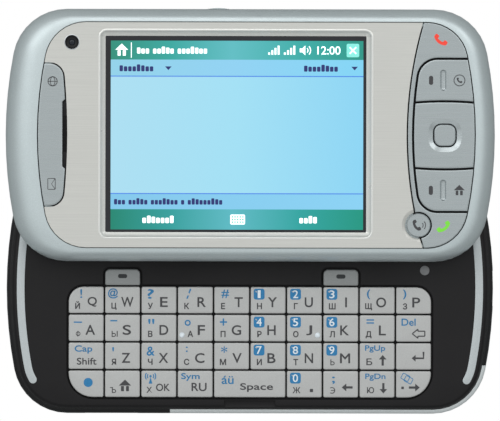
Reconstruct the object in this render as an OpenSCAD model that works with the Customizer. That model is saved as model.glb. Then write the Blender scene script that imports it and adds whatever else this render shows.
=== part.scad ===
// A sideways slider phone: a screen half that slides up off a keyboard half.
// It lies on its back. X runs along its length, Y the way the screen half
// slides open, Z up through its thickness. The origin is the middle of the
// keyboard half's back. It is drawn open.

/* [Body] */
// Length of both halves
body_length = 112.5; // [110:0.5:116]
// Width of each half
body_width = 58; // [57:0.5:60]
// Thickness with the two halves closed on each other
body_height = 21.95; // [21.85:0.05:23]
// Radius of the bowed short ends
end_radius = 100; // [90:1:120]
// Radius of the four corners in plan
corner_radius = 12.5; // [11:0.5:13.5]
// How far the screen half slides open
slide_travel = 35.2; // [33:0.1:35.4]

/* [Keyboard half] */
// Height of the keyboard deck's top above the table
base_height = 12.4; // [12.3:0.1:13]
// Height of the deck, from the case's seam to its top
deck_height = 2.8; // [2.6:0.1:3.1]
// Wall of the moulded case
case_wall = 1.6; // [1.4:0.1:1.8]
// How far the deck's edge stands in from the case
deck_setback = 1.05; // [0.9:0.05:1.2]
// Width of the deck's rounded rim
deck_rim = 1.2; // [1:0.05:1.4]
// Width of the two bright strips let into the deck
strip_width = 1.8; // [1.4:0.1:2.2]
// Height of the bright band round the front corner
band_height = 4.4; // [3.8:0.1:4.6]
// Thickness of the bright band
band_thickness = 0.95; // [0.6:0.05:1]
// Thickness of the battery cover
cover_thickness = 1.3; // [1.1:0.1:1.5]
// How far the battery cover slides to come off its hooks
cover_travel = 8; // [7:0.5:9]

/* [Keyboard] */
// Distance between key columns
key_pitch_x = 8.385; // [8.2:0.005:8.45]
// Distance between key rows
key_pitch_y = 6.445; // [6.3:0.005:6.5]
// Gap between two keys
key_gap = 0.35; // [0.3:0.05:0.5]
// Height of a key above the deck
key_rise = 0.4; // [0.3:0.05:0.45]
// Travel of a key
key_travel = 0.3; // [0.2:0.05:0.35]
// Height of a key cap
cap_height = 1.25; // [1.1:0.05:1.3]
// Bevel round the top of a key
key_bevel = 0.22; // [0.1:0.02:0.3]

/* [Screen half] */
// Width of the glass that shows
screen_width = 59.8; // [58:0.2:60]
// Height of the glass that shows
screen_height = 45; // [44:0.2:45.4]
// Width of the slope round the screen
screen_slope = 1.4; // [1:0.1:1.5]
// Thickness of the metal face plate
plate_thickness = 0.8; // [0.7:0.05:0.9]
// Gap round the keys beside the screen
front_gap = 0.48; // [0.4:0.02:0.5]
// Height of the keys beside the screen
front_cap_height = 0.7; // [0.6:0.05:0.72]
// Diameter of the round key
round_key_diameter = 5.5; // [5:0.1:6]
// Diameter of the small camera's window
camera_diameter = 3.5; // [3:0.1:4]

/* [Slide] */
// Distance of each guide shoe from the middle
shoe_x = 36; // [34:0.5:37]
// Width of the stem of a guide shoe
shoe_stem = 4; // [3:0.2:5]
// Width of the head of a guide shoe
shoe_head = 7; // [6:0.2:8]
// Running clearance round a guide shoe
slide_clearance = 0.1; // [0.06:0.02:0.14]

/* [Small parts] */
// Diameter of the stylus
stylus_diameter = 4.1; // [3.8:0.1:4.2]
// Length of the stylus
stylus_length = 92; // [80:1:94]
// Diameter of the thumb wheel
wheel_diameter = 9.2; // [8.8:0.1:9.4]
// Thickness of the thumb wheel
wheel_thickness = 2.6; // [2.2:0.1:2.8]
// Diameter of the rear camera's barrel
barrel_diameter = 8; // [7:0.2:9]
// Length of the battery
battery_length = 55; // [52:0.5:56]
// Distance from the battery to the side of the case
battery_edge = 8; // [7.8:0.1:9]

/* [Hidden] */
ROWS = [
    ["q", "w", "e", "r", "t", "y", "u", "i", "o", "p"],
    ["a", "s", "d", "f", "g", "h", "j", "k", "l", "backspace"],
    ["shift", "z", "x", "c", "v", "b", "n", "m", "up", "enter"],
    ["fn", "menu", "ok", "sym", "space", "dot", "left", "down", "right"]];
SPACE_ROW = 3;
SPACE_COLUMN = 4;
SOFT_KEYS = [["soft_key_left", 1], ["soft_key_right", 7]];

// Clearances and small overlaps
seat = 0.05;           // between two fixed pieces that touch
running = 0.06;        // round an axle, on the radius
cut = 0.01;            // what a cutting shape runs past a face
far = 200;             // longer than the whole phone
key_lift = 0.35;       // between a screen-side key and the web below it

// Heights, from the table up
deck_top = base_height;
case_top = deck_top - deck_height;
key_top = deck_top + key_rise;
cap_bottom = key_top - cap_height;
pocket_floor = cap_bottom - key_travel - seat;
carriage_bottom = deck_top + 0.7;
carriage_height = 2;
carriage_top = carriage_bottom + carriage_height;
frame_bottom = carriage_bottom + 0.3;
frame_shoulder = frame_bottom + 2.6;
front_key_top = body_height;
front_key_bottom = front_key_top - front_cap_height;
plate_bottom = front_key_bottom - key_lift;
plate_top = plate_bottom + plate_thickness;
frame_top = plate_top + seat;
frame_web = 1;
frame_foot = 1.1;               // how far its lower edge rolls in
web_bottom = plate_bottom - frame_web;
glass_top = plate_bottom - seat;
glass_thickness = 0.85;

// Outline of the face plate, which sits off centre in its frame
plate_centre = 1.4;
plate_length = body_length - 11.9;
plate_width = body_width - 6;
plate_end_radius = end_radius - 8;
plate_corner_radius = corner_radius - 2.9;
plate_left = plate_centre - plate_length / 2;
plate_right = plate_centre + plate_length / 2;
plate_seam = 0.2;               // between the face plate and the frame

// Screen
screen_at = [-3.3, 0.2];
screen_corner = 1.1;            // round the outside of the slope
lip = 1.4;                      // of the face plate over the glass
window = [screen_width, screen_height];

// Keys beside the screen
cluster_left = plate_right - 15.8;  // crest of the bowed left edge
cluster_radius = 92;
block_left = plate_right - 14.4;
block_half = plate_width / 2 - 8.45;
block_radius = cluster_radius - (block_left - cluster_left);
block_corner = 4.6;
nav_half = 7.8;
nav_bow = 80;
groove = [1.4, 4.9, 0.45];      // width, length and depth
groove_x = plate_right - 7.5;
groove_y = block_half - 4.95;
nav_x = plate_right - 7.1;
nav_key = 4.9;
nav_corner = 1.6;
nav_dish = 1.15;
nav_dish_depth = 0.5;
front_bevel = 0.2;
round_key = [plate_right - 13.1, 5.4 - plate_width / 2];
round_key_gap = 0.3;
scallop = [0.8, 0.45];          // width and depth of the face plate's slope round it
rocker_right = plate_left + 6.9;
rocker_radius = 150;
rocker_half = plate_width / 2 - 9.5;
rocker_corner = 3.4;
slot = [1.05, 16.2];            // notch for the earpiece in the rocker's edge
slot_y = 0.15;
slot_slant = 0.7;
slot_open = 8.2;                // length of the opening in its floor
camera = [plate_left + 8, plate_width / 2 - 4.8];
power_key = [-7.4, 4.6, 1.8];   // place along the far edge, length and height
power_key_rise = 0.24;

// Keyboard
columns = 10;
key_rows = 4;
keyboard_margin = 3.67;         // from the lowest keys to the front edge
keyboard_left = -columns * key_pitch_x / 2;
keyboard_bottom = keyboard_margin - body_width / 2;
keyboard_top = keyboard_bottom + key_rows * key_pitch_y;
top_corners = 3.6;
bottom_corners = 6;
soft_key_height = 4.05;
soft_key_corner = 1.2;
small_corner = 0.35;
nub_radius = 0.45;              // the raised dots on f and j
nub_height = 0.22;
nub_in = 1.15;
nub_up = 1.6;
lamp = [body_length / 2 - 15.95, keyboard_top + 3.7];
lamp_radius = 1.1;

// Deck
strip_inset = deck_setback + 1.45;
strip_tip = 31;                 // how far round the corner it reaches, in degrees
strip_rise = 0.12;
notch_width = 11.8;
notch_radius = 1.6;
notch_depth = 0.5;
notch_in = 2;
deck_floor = 1;                 // below the keys
lamp_depth = 0.5;
shoe_head_height = 0.7;
channel_lip = 0.6;              // floor of the channel, under the shoe's head
channel_wall = 0.8;             // closes each end of the channel
channel_play = 0.3;             // between a shoe and the channel's end at each stop
carriage_inset = case_wall + 0.6;
channel_end = body_width / 2 - carriage_inset - channel_wall;
shoe_back = channel_end - channel_play;
shoe_front = slide_travel + channel_play - channel_end;

// Case
case_foot = 3.6;                // how far the back's rounding reaches in
case_foot_height = 4.6;
seam_gap = 0.2;                 // between the cover and the case
case_shoulder = 2;
band_top = case_top;
band_start = -18.4;
band_end = -17.8;
battery_width = body_width - 2 * battery_edge;
battery_left = body_length / 2 - 9.25 - battery_length;
cover_seam = battery_left - 6;
cover_bow = 60;                 // radius of the seam
cover_lip_height = 4.4;
cover_lip_half = body_width / 2 - 9;
hook_y = body_width / 2 - 5.7;
hook_stem = [0.8, 0.75];        // width and height
hook_flange = [1.6, 0.5];
hook_length = 6;
hook_from = cover_seam + 10;
hook_step = 18;
hooks = 3;
hook_play = 0.12;
battery_top = 6.9;
battery_play = 0.25;
bay_wall = 1;
board_bottom = battery_top + battery_play + bay_wall + seat;
board_thickness = 0.9;
board_inset = case_wall + deck_setback + 0.6;
shield_height = 0.9;
// Shielded circuits on the main board: corner, length and width
board_half = [body_length / 2 - board_inset, body_width / 2 - board_inset];
SHIELDS = [[-0.57 * board_half.x, -8, 24, 20], [0.11 * board_half.x, -16, 18, 14],
           [0.11 * board_half.x, 4, 26, 14]];
socket = [7.8, 2.7, 6.6];       // width, height and depth
socket_back = 1;
socket_tongue = [6, 4.8, 0.6];  // reach from the back, width and thickness
socket_z = board_bottom - socket.y / 2;
socket_wall = 0.3;
socket_gap = 0.15;
socket_reach = 0.5;             // from the case's end to the socket's mouth
back_left = -body_length / 2;
barrel_at = [back_left + 14.25, 8];
dish_radius = 7.6;
dish_depth = 0.6;
mirror_at = [back_left + 14.25, -6.5];
mirror_radius = 3;
mirror_depth = 0.4;
flash_at = [back_left + 24.75, 8];
flash = [3, 5];
speaker_at = [back_left + 27.25, -5];
speaker_slots = 5;
speaker_slot = [7, 0.8];
speaker_step = 1.8;
stylus_y = body_width / 2 - 4.5;
stylus_z = 5.2;
tube_wall = 0.9;
stylus_tip = 9;
stylus_play = 0.12;
stylus_radius = stylus_diameter / 2;
stylus_foot = body_length / 2 - 4.4 - stylus_length;
wheel_x = back_left + 24.25;
wheel_z = 5.9;
wheel_y = wheel_diameter / 2 + 0.2 - body_width / 2;
wheel_grips = 24;
wheel_play = 0.25;
scoop_margin = 0.8;
axle_radius = 0.8;
wheel_bottom = wheel_z - wheel_thickness / 2;
wheel_block = wheel_diameter / 2 + 1.6;
axle_bottom = cover_thickness + 1.8;
axle_end_play = 0.1;
scoop_radius = 9;
scoop_depth = 2.4;
grip_lines = 5;                 // finger grip on the battery cover
grip_from = 4;
grip_step = 1.8;
grip_depth = 0.45;
grip_width = 14;
contacts = 3;                   // of the battery
contact = [0.6, 1.8, 2.2];
contact_y = 6;
contact_z = 3.2;
contact_step = 3;

$fn = 48;

// ---------------------------------------------------------------- outlines

function arc_points(centre, r, from, to, n) =
    [for (i = [0:n]) let (a = from + (to - from) * i / n) centre + r * [cos(a), sin(a)]];

// A quarter of the barrel outline, moved in by d: half the bowed end, then a corner
function quarter(length, width, end_r, corner_r, d) =
    let (end_x = length / 2 - end_r,
         corner_y = width / 2 - corner_r,
         corner_x = end_x + sqrt(pow(end_r - corner_r, 2) - pow(corner_y, 2)),
         a = atan2(corner_y, corner_x - end_x))
    concat(arc_points([end_x, 0], end_r - d, 0, a, 4),
           [for (i = [1:8]) arc_points([corner_x, corner_y], corner_r - d, a, 90, 8)[i]]);

function barrel(length, width, end_r, corner_r, d = 0) =
    let (q = quarter(length, width, end_r, corner_r, d), n = len(q) - 1)
    concat(q,
           [for (i = [n:-1:0]) [-q[i].x, q[i].y]],
           [for (i = [1:n]) [-q[i].x, -q[i].y]],
           [for (i = [n:-1:1]) [q[i].x, -q[i].y]]);

function body_outline(d = 0) =
    barrel(body_length, body_width, end_radius, corner_radius, d);

function plate_outline(d = 0) =
    [for (p = barrel(plate_length, plate_width, plate_end_radius, plate_corner_radius, d))
        p + [plate_centre, 0]];

// A box from low to high with its own radius at each corner, from the upper right round to the left
function rounded_box(low, high, radii, d = 0, n = 3) =
    let (r = [for (x = radii) max(x - d, 0.05)],
         l = low + [d, d],
         h = high - [d, d])
    concat(arc_points([h.x - r[0], h.y - r[0]], r[0], 0, 90, n),
           arc_points([l.x + r[1], h.y - r[1]], r[1], 90, 180, n),
           arc_points([l.x + r[2], l.y + r[2]], r[2], 180, 270, n),
           arc_points([h.x - r[3], l.y + r[3]], r[3], 270, 360, n));

function at_height(points, z) = [for (p = points) [p.x, p.y, z]];

function blend_rings(a, b, share) = [for (i = [0:len(a) - 1]) a[i] + (b[i] - a[i]) * share];

// A solid through rings of points, listed from the bottom up
module loft(rings) {
    n = len(rings[0]);
    last = (len(rings) - 1) * n;
    polyhedron(
        points = [for (r = rings) each r],
        faces = concat(
            [[for (i = [0:n - 1]) i]],
            [for (k = [0:len(rings) - 2]) for (i = [0:n - 1])
                let (a = k * n + i, b = k * n + (i + 1) % n) each [[a, a + n, b + n], [a, b + n, b]]],
            [[for (i = [n - 1:-1:0]) last + i]]));
}

module slab(from, to) {
    translate([0, 0, from]) linear_extrude(to - from) children();
}

module box_between(low, high) {
    translate(low) cube(high - low);
}

module both_sides() {
    children();
    mirror([1, 0, 0]) children();
}

// ------------------------------------------------------------ keyboard half

// Rings of the case: a rounded foot, an upright side and a shoulder up to the deck
function case_rings(d = 0) = concat(
    [for (i = [0:6]) let (t = 90 * i / 6)
        at_height(body_outline(d + case_foot * (1 - sin(t))), case_foot_height * (1 - cos(t)))],
    [for (i = [0:4]) let (t = 90 * i / 4)
        at_height(body_outline(d + deck_setback * (1 - cos(t))),
                  case_top - case_shoulder + case_shoulder * sin(t))]);

module case_solid(d = 0) {
    loft(case_rings(d));
}

// The stretch of the case's side that the bright band fills: the front edge from
// band_start and round the right-hand corner
module band_zone(play = 0) {
    box_between([band_start - play, -far, band_top - band_height - play],
                [far, band_end + play, band_top + play]);
}

module outside_of(inset) {
    difference() {
        children();
        slab(-cut, far) polygon(body_outline(inset));
    }
}

module side_band() {
    color("lightsteelblue") intersection() {
        case_solid();
        outside_of(band_thickness) band_zone();
    }
}

// Plan of the battery cover, grown by play: right of a seam that bows to the left
module cover_plan(play = 0) {
    translate([cover_seam + cover_bow, 0]) circle(r = cover_bow + play, $fn = 180);
    translate([cover_seam + cover_bow, -far / 2]) square([far, far]);
}

// The room the cover's lip takes in the right-hand end
module lip_zone(play = 0) {
    outside_of(case_foot + play)
        box_between([0, -cover_lip_half - play, -cut],
                    [far, cover_lip_half + play, cover_lip_height + play]);
}

function hook_at(i) = hook_from + i * hook_step;

module at_hooks() {
    for (i = [0:hooks - 1], side = [-1, 1])
        translate([hook_at(i), side * hook_y, cover_thickness]) children();
}

// Cross-section of a hook, extruded along X
module hook_profile(from, to, play = 0) {
    translate([from, 0, 0]) rotate([90, 0, 90]) linear_extrude(to - from) {
        translate([-hook_stem.x / 2 - play, -cut])
            square([hook_stem.x + 2 * play, hook_stem.y + 2 * cut]);
        translate([-hook_flange.x / 2 - play, hook_stem.y - play])
            square([hook_flange.x + 2 * play, hook_flange.y + 2 * play]);
    }
}

// Where a hook sits, where it slides, and the wider pocket it drops out of
module hook_pocket() {
    play = hook_play;
    hook_profile(-play, cover_travel + hook_length + play, play);
    box_between([cover_travel - play, -hook_flange.x / 2 - play, -cut],
                [cover_travel + hook_length + play, hook_flange.x / 2 + play,
                 hook_stem.y + hook_flange.y + play]);
}

module battery_cover() {
    color("dimgray") difference() {
        union() {
            intersection() {
                case_solid();
                union() {
                    slab(-cut, cover_thickness) cover_plan();
                    lip_zone();
                }
            }
            at_hooks() hook_profile(0, hook_length);
        }
        // Finger grip
        for (i = [0:grip_lines - 1])
            translate([cover_seam + grip_from + i * grip_step, 0, 0])
                rotate([90, 0, 0])
                    cylinder(r = grip_depth, h = grip_width - i, center = true, $fn = 24);
    }
}

module battery_block(from, to, grow = 0) {
    slab(from, to)
        polygon(rounded_box([battery_left - grow, -battery_width / 2 - grow],
                            [battery_left + battery_length + grow, battery_width / 2 + grow],
                            [1, 1, 1, 1]));
}

module battery() {
    color("darkslategray") difference() {
        battery_block(cover_thickness + seat, battery_top);
        // Contacts, in shallow recesses of the left-hand end
        for (i = [0:contacts - 1])
            translate([battery_left - cut, contact_y + i * contact_step, contact_z])
                cube([contact.x, contact.y, contact.z]);
    }
}

module along_x(from, to, y, z, r) {
    translate([from, y, z]) rotate([0, 90, 0]) cylinder(r = r, h = to - from);
}

module upright(at, from, to, r) {
    translate([at.x, at.y, from]) cylinder(r = r, h = to - from);
}

// Everything inside the case's skin that stays with it
module case_bulk() {
    difference() {
        slab(-cut, case_top) square(far, center = true);
        slab(cover_thickness + case_wall, far) polygon(body_outline(case_wall + deck_setback));
    }
    battery_block(cover_thickness, board_bottom - seat, battery_play + bay_wall);
    along_x(stylus_foot - tube_wall, far / 2, stylus_y, stylus_z, stylus_radius + tube_wall);
    // Beds of the cover's hooks
    for (side = [-1, 1])
        box_between([cover_seam, side * hook_y - 2, cover_thickness],
                    [hook_at(hooks), side * hook_y + 2, cover_thickness + case_wall + 0.6]);
    // Block that carries the thumb wheel
    box_between([wheel_x - wheel_block, -body_width / 2 + case_wall, cover_thickness + 1],
                [wheel_x + wheel_block, wheel_y + wheel_block, board_bottom - seat]);
}

// Openings in the back, left of the battery cover
module back_openings() {
    upright(barrel_at, -cut, far, barrel_diameter / 2 + 0.2);
    translate([barrel_at.x, barrel_at.y, -cut])
        cylinder(r1 = dish_radius, r2 = dish_radius - dish_depth, h = dish_depth + cut);
    upright(mirror_at, -cut, mirror_depth, mirror_radius);
    translate([flash_at.x - flash.x / 2, flash_at.y - flash.y / 2, -cut])
        cube([flash.x, flash.y, mirror_depth + cut]);
    for (i = [0:speaker_slots - 1])
        translate([speaker_at.x - speaker_slot.x / 2, speaker_at.y - i * speaker_step, -cut])
            cube([speaker_slot.x, speaker_slot.y, cover_thickness + case_wall + 2 * cut]);
}

// The thumb wheel's pocket, its axle's bore and the scoop for a thumb
module wheel_openings() {
    upright([wheel_x, wheel_y], wheel_bottom - wheel_play,
            wheel_bottom + wheel_thickness + wheel_play, wheel_diameter / 2 + wheel_play);
    upright([wheel_x, wheel_y], axle_bottom - axle_end_play, board_bottom, axle_radius + running);
    upright([wheel_x, scoop_depth - body_width / 2 - scoop_radius], wheel_bottom - scoop_margin,
            wheel_bottom + wheel_thickness + scoop_margin, scoop_radius);
}

module base_housing() {
    color("#26272a") difference() {
        intersection() {
            case_solid();
            case_bulk();
        }
        battery_block(0, battery_top + battery_play, battery_play);
        slab(-cut, cover_thickness + seat) cover_plan(seam_gap);
        lip_zone(seam_gap / 2);
        at_hooks() hook_pocket();
        outside_of(band_thickness + seat) band_zone(seat);
        along_x(stylus_foot - 0.3, far / 2, stylus_y, stylus_z, stylus_radius + stylus_play);
        back_openings();
        wheel_openings();
        // Data socket's opening in the right-hand end
        translate([body_length / 2, 0, socket_z])
            cube([2 * socket.z, socket.x + 2 * socket_gap, socket.y + 2 * socket_gap],
                 center = true);
    }
}

module jog_wheel() {
    color("silver") translate([wheel_x, wheel_y, 0]) {
        difference() {
            translate([0, 0, wheel_bottom]) cylinder(d = wheel_diameter, h = wheel_thickness);
            for (i = [0:wheel_grips - 1])
                rotate([0, 0, i * 360 / wheel_grips])
                    translate([wheel_diameter / 2 + 0.1, 0, wheel_bottom - cut])
                        cylinder(r = 0.35, h = wheel_thickness + 2 * cut, $fn = 16);
        }
        translate([0, 0, axle_bottom])
            cylinder(r = axle_radius, h = board_bottom - seat - axle_end_play - axle_bottom);
    }
}

module stylus() {
    color("dimgray") {
        intersection() {
            along_x(stylus_foot + stylus_tip, far / 2, stylus_y, stylus_z, stylus_radius);
            case_solid();
        }
        translate([stylus_foot + stylus_tip + cut, stylus_y, stylus_z]) rotate([0, -90, 0])
            cylinder(r1 = stylus_radius, r2 = 0.6, h = stylus_tip);
    }
}

// Plug's way into the data socket, round its tongue
module socket_way() {
    back = body_length / 2 - socket_reach - socket.z;
    difference() {
        box_between([back + socket_back, -socket.x / 2 + socket_wall,
                     board_bottom - socket.y + socket_wall],
                    [far, socket.x / 2 - socket_wall, board_bottom - socket_wall]);
        box_between([back, -socket_tongue.y / 2, socket_z - socket_tongue.z / 2],
                    [back + socket_tongue.x, socket_tongue.y / 2,
                     socket_z + socket_tongue.z / 2]);
    }
}

module mainboard() {
    board_top = board_bottom + board_thickness;
    color("seagreen") difference() {
        union() {
            slab(board_bottom, board_top) polygon(body_outline(board_inset));
            for (can = SHIELDS)
                slab(board_top - cut, board_top + shield_height)
                    polygon(rounded_box([can[0], can[1]], [can[0] + can[2], can[1] + can[3]],
                                        [1, 1, 1, 1] * 0.6));
            // Rear camera's barrel
            upright(barrel_at, dish_depth + 0.3, board_bottom + cut, barrel_diameter / 2);
            box_between([body_length / 2 - socket_reach - socket.z, -socket.x / 2,
                         board_bottom - socket.y],
                        [body_length / 2 - socket_reach, socket.x / 2, board_bottom + cut]);
        }
        socket_way();
        // Lens seat in the barrel's end
        upright(barrel_at, 0, dish_depth + 1.1, barrel_diameter / 2 - 1);
    }
}

// Rings of the deck: a rounded rim up to a flat top
function deck_rings() =
    [for (i = [0:6]) let (t = 90 * i / 6)
        at_height(body_outline(deck_setback + deck_rim * (1 - cos(t))),
                  case_top + deck_height * sin(t))];

// Plan of the opening that the keys stand in
module keyboard_plan(grow = 0) {
    polygon(rounded_box([keyboard_left, keyboard_bottom], [-keyboard_left, keyboard_top],
                        [top_corners, top_corners, bottom_corners, bottom_corners], -grow, 8));
    for (s = SOFT_KEYS)
        polygon(rounded_box([keyboard_left + s[1] * key_pitch_x, keyboard_top - 1],
                            [keyboard_left + (s[1] + 1) * key_pitch_x,
                             keyboard_top + soft_key_height],
                            [soft_key_corner, soft_key_corner, 0.1, 0.1], -grow, 4));
}

// Edge of a bright strip: along the right-hand end and a little way round both corners
function strip_edge(inset) =
    let (end_x = body_length / 2 - end_radius,
         corner_y = body_width / 2 - corner_radius,
         reach = end_radius - corner_radius,
         corner_x = end_x + sqrt(pow(reach, 2) - pow(corner_y, 2)),
         turn = atan2(corner_y, corner_x - end_x))
    concat(arc_points([corner_x, -corner_y], corner_radius - inset, -strip_tip, -turn, 5),
           [for (i = [1:12]) arc_points([end_x, 0], end_radius - inset, -turn, turn, 12)[i]],
           [for (i = [1:5]) arc_points([corner_x, corner_y], corner_radius - inset, turn,
                                       strip_tip, 5)[i]]);

// A bright strip beside the keyboard, of one width, with round ends
module strip_plan() {
    outer = strip_edge(strip_inset);
    inner = strip_edge(strip_inset + strip_width);
    last = len(outer) - 1;
    polygon(concat(outer, [for (i = [last:-1:0]) inner[i]]));
    for (i = [0, last])
        translate((outer[i] + inner[i]) / 2) circle(d = strip_width, $fn = 32);
}

// T-shaped shoe that the screen half's channel runs on
module guide_shoe() {
    head_bottom = carriage_bottom + channel_lip + slide_clearance;
    box_between([shoe_x - shoe_stem / 2, shoe_front, deck_top - cut],
                [shoe_x + shoe_stem / 2, shoe_back, head_bottom + cut]);
    box_between([shoe_x - shoe_head / 2, shoe_front, head_bottom],
                [shoe_x + shoe_head / 2, shoe_back, head_bottom + shoe_head_height]);
}

module keyboard_deck() {
    color("#1b1b1d") {
        difference() {
            loft(deck_rings());
            slab(pocket_floor, far) keyboard_plan(key_gap);
            slab(case_top - cut, pocket_floor - deck_floor)
                polygon(body_outline(board_inset - 0.3));
            upright(lamp, deck_top - lamp_depth, far, lamp_radius);
            // Thumb scoop in the front rim
            translate([0, notch_in - body_width / 2, deck_top + notch_radius - notch_depth])
                rotate([0, 90, 0]) cylinder(r = notch_radius, h = notch_width, center = true);
        }
        both_sides() slab(deck_top - cut, deck_top + strip_rise) strip_plan();
        both_sides() guide_shoe();
    }
}

// --------------------------------------------------------------- keyboard

function key_span(row, k) = row == SPACE_ROW && k == SPACE_COLUMN ? 2 : 1;
function key_column(row, k) = row == SPACE_ROW && k > SPACE_COLUMN ? k + 1 : k;

function key_low(row, k) =
    [keyboard_left + key_column(row, k) * key_pitch_x, keyboard_top - (row + 1) * key_pitch_y];
function key_high(row, k) = key_low(row, k) + [key_span(row, k) * key_pitch_x, key_pitch_y];

// Radii of a key: large where it fills a corner of the keyboard
function key_radii(row, k) =
    let (first = k == 0, last = k == len(ROWS[row]) - 1)
    [row == 0 && last ? top_corners : small_corner,
     row == 0 && first ? top_corners : small_corner,
     row == SPACE_ROW && first ? bottom_corners : small_corner,
     row == SPACE_ROW && last ? bottom_corners : small_corner];

module cap(low, high, radii, n) {
    half = key_gap / 2;
    loft([at_height(rounded_box(low, high, radii, half, n), cap_bottom),
          at_height(rounded_box(low, high, radii, half, n), key_top - key_bevel),
          at_height(rounded_box(low, high, radii, half + key_bevel, n), key_top)]);
}

module keyboard_key(row, k) {
    corner = max(key_radii(row, k)) > small_corner;
    low = key_low(row, k);
    color("silver") {
        cap(low, key_high(row, k), key_radii(row, k), corner ? 6 : 2);
        if (ROWS[row][k] == "f" || ROWS[row][k] == "j")
            translate([low.x + (ROWS[row][k] == "f" ? nub_in : key_pitch_x - nub_in),
                       low.y + nub_up, key_top - cut])
                cylinder(r1 = nub_radius, r2 = nub_radius * 0.6, h = nub_height + cut, $fn = 16);
    }
}

module soft_key(column) {
    low = [keyboard_left + column * key_pitch_x, keyboard_top];
    color("darkgray")
        cap(low, low + [key_pitch_x, soft_key_height],
            [soft_key_corner, soft_key_corner, small_corner, small_corner], 4);
}

// ------------------------------------------------------------- screen half

module open() {
    translate([0, slide_travel, 0]) children();
}

// The frame swells from its foot to its shoulder, then rolls over in a quarter of an
// ellipse to the edge of the face plate, so that it is widest at the left-hand end
function frame_rings() = concat(
    [for (i = [0:3]) let (t = 90 * i / 3)
        at_height(body_outline(frame_foot * (1 - sin(t))),
                  frame_bottom + (frame_shoulder - frame_bottom) * i / 3)],
    [for (i = [1:9]) let (t = 10 * i)
        at_height(blend_rings(body_outline(), plate_outline(), 1 - cos(t)),
                  frame_shoulder + (frame_top - frame_shoulder) * sin(t))]);

// Power key in the far edge: a low swelling between two flat faces
module power_key_bump() {
    half = power_key[1] / 2;
    bow = (half * half + pow(power_key_rise, 2)) / (2 * power_key_rise);
    intersection() {
        translate([power_key[0], body_width / 2 + power_key_rise - bow,
                   frame_shoulder - power_key[2] / 2])
            cylinder(r = bow, h = power_key[2], $fn = 96);
        box_between([power_key[0] - half, body_width / 2 - 0.8, 0],
                    [power_key[0] + half, body_width, far]);
    }
}

module front_frame() {
    color("lightsteelblue") open() difference() {
        union() {
            loft(frame_rings());
            power_key_bump();
        }
        slab(frame_bottom - 1, web_bottom) polygon(body_outline(carriage_inset - 0.2));
        slab(plate_bottom, far) polygon(plate_outline());
        // Window for the screen, the sound and the small camera
        slab(web_bottom - 1, far) screen_plan(lip + 0.3);
        slab(web_bottom - 1, far) slot_plan(slot_open);
        upright(camera, web_bottom - 1, far, camera_diameter / 2 + 0.1);
    }
}

module screen_plan(grow) {
    translate(screen_at) square(window + 2 * [grow, grow], center = true);
}

// Opening for the sound, of the slot's width
module slot_plan(length) {
    translate([rocker_right - slot.x / 2, slot_y]) square([slot.x, length], center = true);
}

// Notch in the rocker's edge, with slanted inner corners
module notch_plan() {
    translate([rocker_right - slot.x, slot_y]) polygon([
        [0, slot_slant - slot.y / 2], [slot_slant, -slot.y / 2], [2 * slot.x, -slot.y / 2],
        [2 * slot.x, slot.y / 2], [slot_slant, slot.y / 2], [0, slot.y / 2 - slot_slant]]);
}

module plate_plan(d = 0) {
    polygon(plate_outline(d));
}

// Everything right of the cluster's bowed left edge
module cluster_plan(d = 0) {
    intersection() {
        plate_plan(d);
        translate([cluster_left + cluster_radius, 0]) circle(r = cluster_radius - d, $fn = 240);
    }
}

// The block of the three inner keys, bowed like the cluster's edge
module block_plan(d = 0) {
    intersection() {
        plate_plan(d);
        translate([block_left + plate_length / 2, 0])
            polygon(barrel(plate_length, 2 * block_half, block_radius, block_corner, d));
    }
}

module nav_band(d = 0) {
    intersection_for (side = [-1, 1])
        translate([nav_x, side * (nav_half - nav_bow)]) circle(r = nav_bow - d, $fn = 240);
}

module round_key_plan(d = 0) {
    translate(round_key) circle(d = round_key_diameter - 2 * d);
}

module rocker_plan(d = 0) {
    intersection() {
        plate_plan(d);
        translate([rocker_right - plate_length / 2, 0])
            polygon(barrel(plate_length, 2 * rocker_half, rocker_radius, rocker_corner, d));
    }
}

// Slope round the screen, cut into the face plate
module screen_funnel() {
    top = window + 2 * screen_slope * [1, 1];
    intersection() {
        slab(plate_bottom - cut, far)
            polygon(rounded_box(screen_at - top / 2, screen_at + top / 2,
                                [1, 1, 1, 1] * screen_corner, 0, 6));
        translate([screen_at.x, body_width, 0]) rotate([90, 0, 0])
            linear_extrude(2 * body_width)
            polygon([[-window.x / 2, plate_bottom - cut], [window.x / 2, plate_bottom - cut],
                     [top.x / 2, plate_top + cut], [-top.x / 2, plate_top + cut]]);
        translate([-body_length, screen_at.y, 0]) rotate([90, 0, 90])
            linear_extrude(2 * body_length)
            polygon([[-window.y / 2, plate_bottom - cut], [window.y / 2, plate_bottom - cut],
                     [top.y / 2, plate_top + cut], [-top.y / 2, plate_top + cut]]);
    }
}

module face_plate() {
    color("#cbc7bf") open() difference() {
        slab(plate_bottom, plate_top) difference() {
            plate_plan(plate_seam);
            cluster_plan(-front_gap / 6);
            round_key_plan(-round_key_gap);
            rocker_plan(-front_gap / 6);
            translate(camera) circle(d = camera_diameter);
        }
        screen_funnel();
        // Slope down to the round key
        translate([round_key.x, round_key.y, plate_top - scallop[1]])
            cylinder(r1 = round_key_diameter / 2 + round_key_gap,
                     r2 = round_key_diameter / 2 + round_key_gap + scallop[0],
                     h = scallop[1] + cut);
    }
}

module display_module() {
    color("#101418") open() {
        slab(glass_top - glass_thickness, glass_top) screen_plan(lip);
        slab(carriage_top + seat, glass_top - glass_thickness + cut) screen_plan(lip - 0.4);
        // Board behind the keys, with the small camera on it
        slab(web_bottom - 0.3 - board_thickness, web_bottom - 0.3)
            polygon(body_outline(carriage_inset + 0.2));
        upright(camera, web_bottom - 0.4, plate_top - 0.5, camera_diameter / 2 - 0.1);
    }
}

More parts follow.
